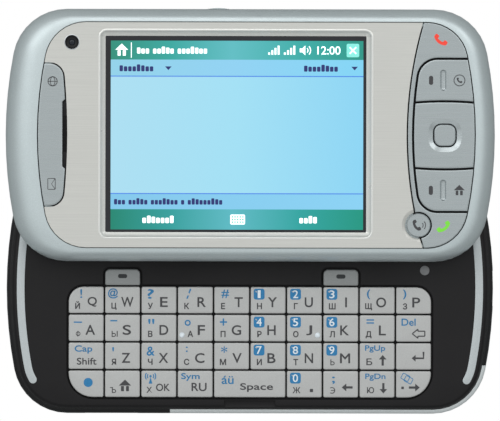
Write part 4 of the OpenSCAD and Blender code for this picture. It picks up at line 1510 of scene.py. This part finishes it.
    def power_key(self) -> None:
        """A fine groove round the swelling of the power key on the far edge, drawn as a thin
        near-black ring: painted shade in the groove.
        """
        edge, width = Box.of("front_frame").high.y, 0.12
        groove = Box.spanning((-9.85, edge - 0.34, 15.05), (-4.95, edge - 0.2, 16.95))
        rings = [[(x, y, z) for x, z in
                  rounded_rectangle((groove.centre.x, groove.centre.z),
                                    (groove.size.x - 2 * d, groove.size.z - 2 * d), 0.5 - d, 4)]
                 for y, d in ((groove.low.y, 0.0), (groove.high.y, 0.0), (groove.high.y, width),
                              (groove.low.y, width))]
        settle(looped_rings("power_key_seam_shade", rings, self.finishes.mat), self.body)

    def keys(self) -> None:
        """The keys beside the screen, with softened edges."""
        for node in ("shortcut_rocker", "call_end_bar", "ok_key", "nav_pad", "nav_center",
                     "start_key", "video_call_key"):
            roll = self.strip_roll if node == "call_end_bar" else self.key_roll
            piece = node_copy(node, f"{node}_cap", self.finishes.front_keys, crease=18,
                              bevel=self.key_edge, roll=roll)
            settle(piece, node, [node])

    def small_camera(self) -> None:
        """The small camera: a pale turned rim, a dark bowl and its lens."""
        centre = Vector((*self.at(*self.camera_place), self.plate_top))
        r = self.camera_radius
        for name, finish, slot, profile in (
                ("bowl", self.finishes.case, "frame_silver", (
                    (0, -0.55), (0.8, -0.5), (r - 0.05, -0.15), (r + 0.05, 0.02),
                    (r + 0.16, 0.06), (r + 0.26, 0.0), (r + 0.26, -0.3), (0, -0.6))),
                ("rim", self.finishes.chrome, "frame_silver", (
                    (r + 0.10, -0.2), (r + 0.10, 0.05), (r + 0.17, 0.07), (r + 0.26, 0.03),
                    (r + 0.26, -0.2), (r + 0.10, -0.2))),
                ("lens", self.finishes.lens, "screen", (
                    (0, -0.55), (0.72, -0.5), (0.62, -0.32), (0.35, -0.22), (0, -0.18)))):
            settle(turned_profile(f"camera_{name}", profile, centre, finish), self.body)

    def legends(self) -> None:
        """Signs printed on the keys beside the screen."""
        for node, marks in FRONT_MARKS.items():
            printing = Printing(self.finishes, lambda x, y: self.key_top)
            Icons(printing).draw(marks, self.at(0, 0))
            printing.piece(f"{node}_print", node)


# ------------------------------------------------------------------ keyboard


SECOND_HEIGHT = 1.36
HOME_KEYS = ("key_f", "key_j")
HAND_DRAWN = {"Ь": Icons.soft_sign, "Ы": Icons.hard_vowel, "Ф": Icons.staffed_ring}


@dataclass(frozen=True)
class Legend:
    """What is printed on a letter key.

    Attributes:
        letter: the large letter.
        width: width of its ink.
        right: how far right of the key's middle it stands.
        second: the small letter of the second alphabet.
        sign: the blue sign, or the number on a blue tile.
        sign_size: width and height of the blue sign's ink.
        sign_at: the blue sign's place from the key's middle.
    """

    letter: str
    width: float
    right: float
    second: str
    sign: str
    sign_size: Point = (2.5, 2.5)
    sign_at: Point = (-2.06, 1.4)

    def marks(self) -> tuple[Mark, ...]:
        """The large letter, the small second letter, and the blue sign or number tile."""
        if self.second in HAND_DRAWN:
            second = Mark(HAND_DRAWN[self.second], (-1.9, -1.36), (1.3,))
        else:
            above = 0.3 if self.second == "Й" else 0
            below = 0.2 if self.second in "ЦЩД" else 0
            beside = 0.85 if self.second == "А" else 0
            second = Mark(Icons.lettering, (beside - 1.98, (above - below) / 2 - 1.36),
                          (self.second, SECOND_HEIGHT + above + below, None, 0.035))
        if self.sign.isdigit():
            sign = Mark(Icons.tile, self.sign_at, (self.sign,), Ink.BLUE)
        else:
            width, height = self.sign_size
            sign = Mark(Icons.lettering, self.sign_at, (self.sign, height, width), Ink.BLUE)
        return (Mark(Icons.lettering, (self.right, -0.46), (self.letter, 2.2, self.width)),
                second, sign)


LETTERS = {
    "q": Legend("Q", 2.05, 1.4, "Й", "!", (0.36, 2.0), (-1.15, 1.45)),
    "w": Legend("W", 2.75, 1.1, "Ц", "@", (2.2, 2.25), (-2.2, 1.5)),
    "e": Legend("E", 1.7, 1.15, "У", "?", (1.4, 2.15), (-1.9, 1.4)),
    "r": Legend("R", 1.85, 1.45, "К", "/", (1.05, 2.2), (-1.5, 1.45)),
    "t": Legend("T", 1.85, 1.6, "Е", "#", (1.7, 1.9), (-1.5, 1.45)),
    "y": Legend("Y", 1.95, 1.0, "Н", "1"),
    "u": Legend("U", 1.8, 1.0, "Г", "2"),
    "i": Legend("I", 0.34, 1.2, "Ш", "3"),
    "o": Legend("O", 2.2, 0.9, "Щ", "(", (0.7, 2.2), (-2.0, 1.4)),
    "p": Legend("P", 1.75, 0.6, "З", ")", (0.7, 2.2), (-2.07, 1.4)),
    "a": Legend("A", 2.1, 0.95, "Ф", "_", (1.9, 0.28), (-1.9, 1.3)),
    "s": Legend("S", 1.85, 1.0, "Ы", "-", (1.6, 0.3), (-2.0, 1.65)),
    "d": Legend("D", 1.95, 1.15, "В", "\"", (1.35, 1.1), (-1.75, 1.5)),
    "f": Legend("F", 1.6, 1.4, "А", "°", (1.35, 1.35), (-1.75, 1.2)),
    "g": Legend("G", 2.1, 1.1, "П", "+", (1.6, 1.6), (-1.9, 1.4)),
    "h": Legend("H", 1.85, 0.8, "Р", "4"),
    "j": Legend("J", 1.3, 1.1, "О", "5"),
    "k": Legend("K", 1.9, 0.85, "Л", "6"),
    "l": Legend("L", 1.55, 1.2, "Д", "=", (1.7, 0.95), (-1.6, 1.6)),
    "z": Legend("Z", 1.85, 0.8, "Я", "'", (0.36, 0.95), (-2.15, 1.5)),
    "x": Legend("X", 2.05, 1.05, "Ч", "&", (1.75, 2.05), (-1.9, 1.1)),
    "c": Legend("C", 2.1, 1.05, "С", ":", (0.4, 1.2), (-1.95, 1.55)),
    "v": Legend("V", 2.05, 1.25, "М", "*", (1.4, 1.45), (-1.7, 1.5)),
    "b": Legend("B", 1.8, 0.8, "И", "7"),
    "n": Legend("N", 1.85, 1.05, "Т", "8"),
    "m": Legend("M", 2.25, 1.0, "Ь", "9"),
}

OTHER_KEYS = {
    "backspace": (Mark(Icons.lettering, (-1.15, 1.45), ("Del", 1.6, 3.2), Ink.BLUE),
                  Mark(Icons.outlined_arrow, (1.15, -1.2), (2.9,))),
    "shift": (Mark(Icons.lettering, (-0.6, 1.45), ("Cap", 1.85, 4.0), Ink.BLUE),
              Mark(Icons.lettering, (0.15, -1.25), ("Shift", 1.55, 4.5))),
    "up": (Mark(Icons.lettering, (-0.46, 1.72), ("PgUp", 1.6, 4.6), Ink.BLUE),
           Mark(Icons.lettering, (-1.8, -1.25), ("Б", 1.5, 1.3)),
           Mark(Icons.arrow, (1.28, -0.9), (2.45, 90))),
    "enter": (Mark(Icons.enter, (1.0, -0.1), (2.6,)),),
    "fn": (Mark(Icons.disc, (0.5, 0.3), (1.05,), Ink.BLUE),),
    "menu": (Mark(Icons.soft_sign, (-1.95, -1.4), (1.3,)),
             Mark(Icons.patch, (-2.6, -0.85), ((0.5, 0.17), 0.02, 1)),
             Mark(Icons.house, (0.6, -0.45), (2.6,))),
    "ok": (Mark(Icons.aerial, (-1.9, 1.35), (2.6,), Ink.BLUE),
           Mark(Icons.lettering, (-2.2, -1.38), ("Х", SECOND_HEIGHT)),
           Mark(Icons.lettering, (0.95, -0.8), ("OK", 1.65, 3.1))),
    "sym": (Mark(Icons.lettering, (-1.1, 1.6), ("Sym", 1.75, 4.2), Ink.BLUE),
            Mark(Icons.lettering, (0.9, -0.7), ("RU", 1.85, 3.4))),
    "space": (Mark(Icons.lettering, (-5.1, 0.95), ("áü", 1.85, 2.7), Ink.BLUE),
              Mark(Icons.lettering, (1.58, -0.8), ("Space", 1.95, 7.5))),
    "dot": (Mark(Icons.tile, (-2.06, 1.4), ("0",), Ink.BLUE),
            Mark(Icons.lettering, (-1.8, -1.38), ("Ж", SECOND_HEIGHT)),
            Mark(Icons.patch, (1.65, -1.45), ((0.75, 0.75), 0.12, 2))),
    "left": (Mark(Icons.lettering, (-1.65, 0.9), (";", 1.7, 0.6), Ink.BLUE),
             Mark(Icons.round_letter, (-1.9, -1.42), (1.5,)),
             Mark(Icons.arrow, (1.5, -0.72), (2.5, 180))),
    "down": (Mark(Icons.lettering, (-0.4, 1.65), ("PgDn", 1.6, 4.6), Ink.BLUE),
             Mark(Icons.lettering, (-1.5, -1.35), ("Ю", SECOND_HEIGHT)),
             Mark(Icons.arrow, (1.45, -0.9), (2.4, 270))),
    "right": (Mark(Icons.cards, (-1.5, 1.35), (2.9,), Ink.BLUE),
              Mark(Icons.patch, (-2.5, -0.8), ((0.6, 0.6), 0.1, 2)),
              Mark(Icons.arrow, (0.2, -0.72), (2.5, 0))),
}
SOFT_KEY = (Mark(Icons.patch, (0, 0.25), ((2.1, 0.95), 0.45, 6), Ink.BLACK),)


@dataclass
class Keyboard:
    """The 39 keys and the two soft keys above them.

    Attributes:
        dome: how far a cap's top falls from its middle to its edge.
        edge: radius of a cap's upper edge.
        corner: radius of most corners, seen from above.
        top_corner: radius of the block's two upper corners.
        bottom_corner: radius of its two lower corners.
        tab_corner: radius of the upper corners of the soft keys.
    """

    ROUND_STEPS, CORNER_STEPS = 14, 4

    finishes: Finishes
    dome: float = 0.1
    edge: float = 0.26
    corner: float = 0.4
    top_corner: float = 3.45
    bottom_corner: float = 5.6
    tab_corner: float = 1.1

    def build(self) -> None:
        """Make each cap and print it."""
        caps = CapTree()
        for node in sorted(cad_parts):
            if not node.startswith(("key_", "soft_key_")):
                continue
            box = Box.of(node)
            self._cap(caps, node, box)
            self._legend(node, box)

    def _radii(self, node: str) -> tuple[float, float, float, float]:
        """Corner radii of a key: upper right, upper left, lower left, lower right."""
        small = self.corner
        special = {"key_q": (small, self.top_corner, small, small),
                   "key_p": (self.top_corner, small, small, small),
                   "key_fn": (small, small, self.bottom_corner, small),
                   "key_right": (small, small, small, self.bottom_corner)}
        if node.startswith("soft_"):
            return (self.tab_corner, self.tab_corner, small, small)
        return special.get(node, (small,) * 4)

    def _cap(self, caps: CapTree, node: str, box: Box) -> None:
        """Make one cap where its node stands."""
        radii = self._radii(node)
        soft = node.startswith("soft_")
        top = self.top_of(node, box)
        piece = caps.make(
            f"{node}_cap", Width=box.size.x * MM, Depth=box.size.y * MM,
            Radius_0=radii[0] * MM, Radius_1=radii[1] * MM, Radius_2=radii[2] * MM,
            Radius_3=radii[3] * MM,
            Corner_points=self.ROUND_STEPS if max(radii) > self.corner else self.CORNER_STEPS,
            Height=(top - box.low.z) * MM, Edge=self.edge * MM, Dome=self.dome * MM,
            Material=self.finishes.tabs if soft else self.finishes.keycaps)
        shift(piece, Vector((*box.centre.xy, top)))
        settle(piece, node, [node])
        if node in HOME_KEYS:
            self._nub(node, box, top)

    @staticmethod
    def top_of(node: str, box: Box) -> float:
        """Height of a key's top, below the raised dot that two of them carry."""
        return Box.of("key_g").high.z if node in HOME_KEYS else box.high.z

    def _nub(self, node: str, box: Box, top: float) -> None:
        """The small white raised dot on a home key."""
        x = box.low.x + 0.95 if node == "key_f" else box.high.x - 1.0
        profile = ((0, -0.1), (0.62, -0.1), (0.6, 0.0), (0.45, 0.12), (0.24, 0.19), (0, 0.21))
        dot = turned_profile(f"{node}_dot", profile, Vector((x, box.low.y + 1.45, top)),
                             self.finishes.inks[Ink.WHITE], 24)
        settle(dot, node)

    def _printing(self, node: str, box: Box) -> Printing:
        """Printing that follows a key's dome."""
        top = self.top_of(node, box)
        centre, half = box.centre, box.size / 2

        def surface(x: float, y: float) -> float:
            away = max(abs(x - centre.x) / (half.x - self.edge),
                       abs(y - centre.y) / (half.y - self.edge))
            return top - self.dome * min(1.0, away) ** 2

        return Printing(self.finishes, surface, lift=0.025, layer=0.012)

    def _legend(self, node: str, box: Box) -> None:
        """Print one key."""
        printing = self._printing(node, box)
        name = node.removeprefix("key_")
        marks = LETTERS[name].marks() if name in LETTERS else OTHER_KEYS.get(name, SOFT_KEY)
        Icons(printing).draw(marks, box.centre.xy)
        printing.piece(f"{node}_print", node)


# ------------------------------------------------------------------ keyboard half


@dataclass
class KeyboardHalf:
    """The lower half: case, deck, bright trim, back, wheel and stylus.

    Attributes:
        strip_inset: from the outline to the bright strips.
        strip_width: their width.
        strip_tip: how far they go round the corners, in degrees.
        inlay: their lower and upper faces, from the deck.
        key_rise: how far the keys stand over the deck.
    """

    finishes: Finishes
    outline: Barrel = field(default_factory=Barrel)
    body: str = "base"
    strip_inset: float = 2.5
    strip_width: float = 1.8
    strip_tip: float = 31.0
    inlay: Point = (-0.05, 0.15)
    key_rise: float = 0.4
    lamp_place: Point = (40.3, 4.15)
    lamp_radius: float = 1.12
    rear_camera: Point = (-42.0, 8.0)
    mirror: Point = (-42.0, -6.5)
    flash: Point = (-31.5, 8.0)

    def __post_init__(self) -> None:
        """Measure the deck."""
        self.deck_top = Box.of("key_g").high.z - self.key_rise

    def build(self) -> None:
        """Build every piece of this half."""
        self.shells()
        self.strips()
        self.lamp()
        self.back()
        self.wheel()

    def shells(self) -> None:
        """Case, cover, deck, band and stylus."""
        looks = self.finishes
        for node, name, finish, body, slot in (
                ("base_housing", "case_shell", looks.case, self.body, "case_black"),
                ("battery_cover", "cover_shell", looks.case, "battery_cover", "case_black"),
                ("keyboard_deck", "deck_shell", looks.deck, self.body, "deck_black"),
                ("side_band", "band_shell", looks.band, self.body, "silver_trim"),
                ("stylus", "stylus_shell", looks.case, "stylus", "stylus_plastic")):
            settle(node_copy(node, name, finish), body, [node])
        dress_node("mainboard", self.finishes.board)
        dress_node("battery", self.finishes.battery)

    def strips(self) -> None:
        """The two bright strips let into the deck, with round ends."""
        inner, outer = self.strip_inset + self.strip_width, self.strip_inset
        corner_x, corner_y = self.outline.corner
        turn, tip = self.outline.turn, self.strip_tip
        end = self.outline.length / 2 - self.outline.end_radius
        corner = self.outline.corner_radius

        def edge(inset: float) -> list[Point]:
            """One long edge of the right strip, from its lower tip to its upper one."""
            radius = corner - inset
            return (arc((corner_x, -corner_y), radius, -tip, -turn, 6)[:-1]
                    + arc((end, 0), self.outline.end_radius - inset, -turn, turn, 24)
                    + arc((corner_x, corner_y), radius, turn, tip, 6)[1:])

        def round_end(sign: int) -> list[Point]:
            """The round end above (1) or below (-1)."""
            centre = arc((corner_x, sign * corner_y), corner - (inner + outer) / 2,
                         sign * tip, sign * tip, 1)[0]
            first = tip if sign > 0 else 180 - tip
            return arc(centre, self.strip_width / 2, first, first + 180, 8)[1:-1]

        path = edge(outer) + round_end(1) + edge(inner)[::-1] + round_end(-1)
        mirrored = [(-x, y) for x, y in reversed(path)]
        low, high = (self.deck_top + rise for rise in self.inlay)
        for name, points in (("inlay_right", path), ("inlay_left", mirrored)):
            piece = raised_area(name, points, low, high, 0.06, self.finishes.trim)
            settle(piece, self.body)

    def lamp(self) -> None:
        """The status lens on the deck."""
        r = self.lamp_radius
        profile = ((0, -0.45), (r, -0.4), (r, -0.06), (r - 0.1, 0.0), (0.5 * r, 0.05), (0, 0.07))
        lens = turned_profile("status_lens", profile, Vector((*self.lamp_place, self.deck_top)),
                              self.finishes.lamp, 32)
        settle(lens, self.body)

    def back(self) -> None:
        """Rear camera, self-portrait mirror and flash window in the back."""
        for name, place, finish, slot, profile in (
                ("rear_camera_ring", self.rear_camera, self.finishes.chrome, "silver_trim", (
                    (2.9, 0.95), (3.1, 0.6), (3.9, 0.5), (4.15, 0.7), (4.15, 1.6), (2.9, 1.6),
                    (2.9, 0.95))),
                ("rear_camera_glass", self.rear_camera, self.finishes.lens, "screen", (
                    (0, 1.0), (1.4, 1.05), (2.95, 1.25), (2.95, 1.6), (0, 1.6))),
                ("portrait_mirror", self.mirror, self.finishes.chrome, "silver_trim", (
                    (0, 0.18), (2.2, 0.22), (2.9, 0.3), (2.9, 0.4), (0, 0.4)))):
            settle(turned_profile(name, profile, Vector((*place, 0)), finish), self.body)
        window = raised_area("flash_window", rounded_rectangle(self.flash, (2.9, 4.9), 0.3), 0.15,
                             0.4, 0, self.finishes.lamp)
        settle(window, self.body)

    def wheel(self) -> None:
        """The thumb wheel's rim with its bars."""
        box = Box.of("jog_wheel")
        centre = Vector((box.centre.x, box.centre.y, 0))
        radius = box.size.x / 2
        low, high = 4.6, 7.2
        face, side = radius - 0.75, radius - 0.3
        rim = turned_profile("wheel_rim", [
            (0, low), (face, low), (side, low + 0.35), (side, high - 0.35), (face, high),
            (0, high)], centre, self.finishes.trim)
        settle(rim, "jog_wheel", ["jog_wheel"])
        bars = RidgeTree().make("wheel_bars", Radius=(radius - 0.36) * MM,
                                Thickness=(high - low - 0.6) * MM, Bar_radius=0.34 * MM,
                                Count=28, Material=self.finishes.chrome)
        centre.z = (low + high) / 2
        shift(bars, centre)
        settle(bars, "jog_wheel")


# ------------------------------------------------------------------ studio


@dataclass
class Studio:
    """Camera, lamps and floor, set up as the photograph was.

    UPWARDS, BACKWARDS and ACROSS say how light the room is along an axis, from -1 to 1.

    Attributes:
        aim: the place that the camera looks at, in millimetres like the other lengths.
        roll: how far the picture is turned, in degrees.
        warmth: red in the room's light, as a share of its green and blue.
    """

    UPWARDS = ((-1, 0.9), (-0.4, 0.6), (0, 0.18), (0.35, 0.42), (0.65, 0.82), (1, 0.95))
    BACKWARDS = ((-1, 0.6), (-0.7, 0.78), (-0.25, 0.36), (0, 0.66), (0.4, 0.8), (0.8, 0.78),
                 (1, 0.4))
    ACROSS = ((-1, 1.5), (-0.75, 1.45), (-0.3, 1.1), (0, 1.0), (0.35, 1.15), (0.75, 1.2),
              (1, 1.35))

    image: tuple[int, int] = (500, 421)
    pixels_per_mm: float = 4.354
    aim: Point = (-0.02, 17.9)
    aim_height: float = 18.0
    roll: float = 0.12
    room_light: float = 1.25
    warmth: float = 0.97
    distance: float = 1500.0

    def build(self) -> None:
        """Set the camera, the lamps, the world and the floor."""
        scene = bpy.context.scene
        scene.view_settings.view_transform = "Standard"
        self._camera(scene)
        self._world(scene)
        self._lamps()
        self._floor()

    def _camera(self, scene: bpy.types.Scene) -> None:
        """A long lens straight above the phone."""
        data = bpy.data.cameras.new("camera")
        data.sensor_width = 36.0
        seen = self.image[0] / self.pixels_per_mm
        data.lens = data.sensor_width * self.distance / seen
        data.clip_end = 10.0
        camera = bpy.data.objects.new("camera", data)
        camera.location = Vector((self.aim[0], self.aim[1],
                                  self.aim_height + self.distance)) * MM
        camera.rotation_euler = (0, 0, math.radians(self.roll))
        scene.collection.objects.link(camera)
        scene.camera = camera

    def _world(self, scene: bpy.types.Scene) -> None:
        """Soft light overhead that falls off to the horizon; white where the camera looks."""
        world = bpy.data.worlds.new("studio")
        world.use_nodes = True
        tree = world.node_tree
        place = add_node(tree, "ShaderNodeTexCoord").outputs["Generated"]
        axes = add_node(tree, "ShaderNodeSeparateXYZ", {"Vector": place}).outputs

        def ramp(axis: str, stops: Sequence[Point]) -> bpy.types.NodeSocket:
            """Light along an axis of the room."""
            share = add_node(tree, "ShaderNodeMapRange", {"From Min": -1.0, "Value": axes[axis]})
            return colour_ramp(tree, share.outputs["Result"], [
                ((at + 1) / 2, (light * self.warmth, light, light)) for at, light in stops])

        def product(first: object, second: object) -> bpy.types.NodeSocket:
            """Two sockets or values multiplied."""
            return add_node(tree, "ShaderNodeMath", {0: first, 1: second},
                            operation="MULTIPLY").outputs[0]

        room = tree.nodes["Background"]
        strength = product(ramp("Y", self.BACKWARDS), self.room_light)
        set_inputs(tree, room, {"Color": ramp("Z", self.UPWARDS),
                                "Strength": product(strength, ramp("X", self.ACROSS))})
        white = add_node(tree, "ShaderNodeBackground", {"Color": WHITE})
        rays = add_node(tree, "ShaderNodeLightPath").outputs
        mix = add_node(tree, "ShaderNodeMixShader", {
            "Fac": rays["Is Camera Ray"], 1: room.outputs["Background"],
            2: white.outputs["Background"]})
        set_inputs(tree, tree.nodes["World Output"], {"Surface": mix.outputs["Shader"]})
        scene.world = world

    @staticmethod
    def _lamps() -> None:
        """A large soft lamp behind the phone, and two weaker ones at the sides."""
        for name, place, size, power in (
                ("key lamp", (-80, 560, 560), 420, 0.6),
                ("left lamp", (-520, 400, 560), 360, 0.6),
                ("right lamp", (520, 400, 560), 360, 0.5)):
            data = bpy.data.lights.new(name, "AREA")
            data.size = size * MM
            data.energy = power
            lamp = bpy.data.objects.new(name, data)
            lamp.location = Vector(place) * MM
            aim = Vector((0, 20, 10)) * MM - lamp.location
            lamp.rotation_euler = aim.to_track_quat("-Z", "Y").to_euler()
            bpy.context.scene.collection.objects.link(lamp)

    def _floor(self) -> None:
        """A pale floor that the camera sees as white paper and the phone as a grey table.

        From below it can be looked through, and it lets light reach what lies on it.
        """
        half, level = 3.0, -0.0002
        mesh = bpy.data.meshes.new("floor")
        mesh.from_pydata([(x * half, y * half, level)
                          for x, y in ((-1, -1), (1, -1), (1, 1), (-1, 1))], [], [(0, 1, 2, 3)])
        shader = Shader("floor paper")
        tree = shader.tree
        shader.feed("Base Color", colour_ramp(tree, shader.noise(40, 2), [
            (0.3, (0.30, 0.31, 0.31)), (0.7, (0.32, 0.33, 0.33))]))
        shader.value(Roughness=0.9)
        rays = add_node(tree, "ShaderNodeLightPath").outputs
        paper = add_node(tree, "ShaderNodeEmission", {"Color": WHITE})
        mix = add_node(tree, "ShaderNodeMixShader", {
            "Fac": rays["Is Camera Ray"], 1: shader.principled.outputs["BSDF"],
            2: paper.outputs["Emission"]})
        near = add_node(tree, "ShaderNodeMath", {0: rays["Ray Length"], 1: 0.002},
                        operation="LESS_THAN")
        behind = add_node(tree, "ShaderNodeNewGeometry").outputs["Backfacing"]
        either = add_node(tree, "ShaderNodeMath", {0: behind, 1: near.outputs[0]},
                          operation="MAXIMUM")
        glassy = add_node(tree, "ShaderNodeBsdfTransparent").outputs["BSDF"]
        clear = add_node(tree, "ShaderNodeMixShader", {
            "Fac": either.outputs[0], 1: mix.outputs["Shader"], 2: glassy})
        set_inputs(tree, tree.nodes["Material Output"], {"Surface": clear.outputs["Shader"]})
        mesh.materials.append(shader.material)
        link_mesh("floor", mesh)


def main() -> None:
    """Build the studio, then each sub-assembly in order."""
    logging.basicConfig(level=logging.INFO, format="%(name)s: %(message)s")
    Studio().build()
    finishes = Finishes()
    ScreenHalf(finishes).build()
    Keyboard(finishes).build()
    KeyboardHalf(finishes).build()


if __name__ == "__main__":
    main()
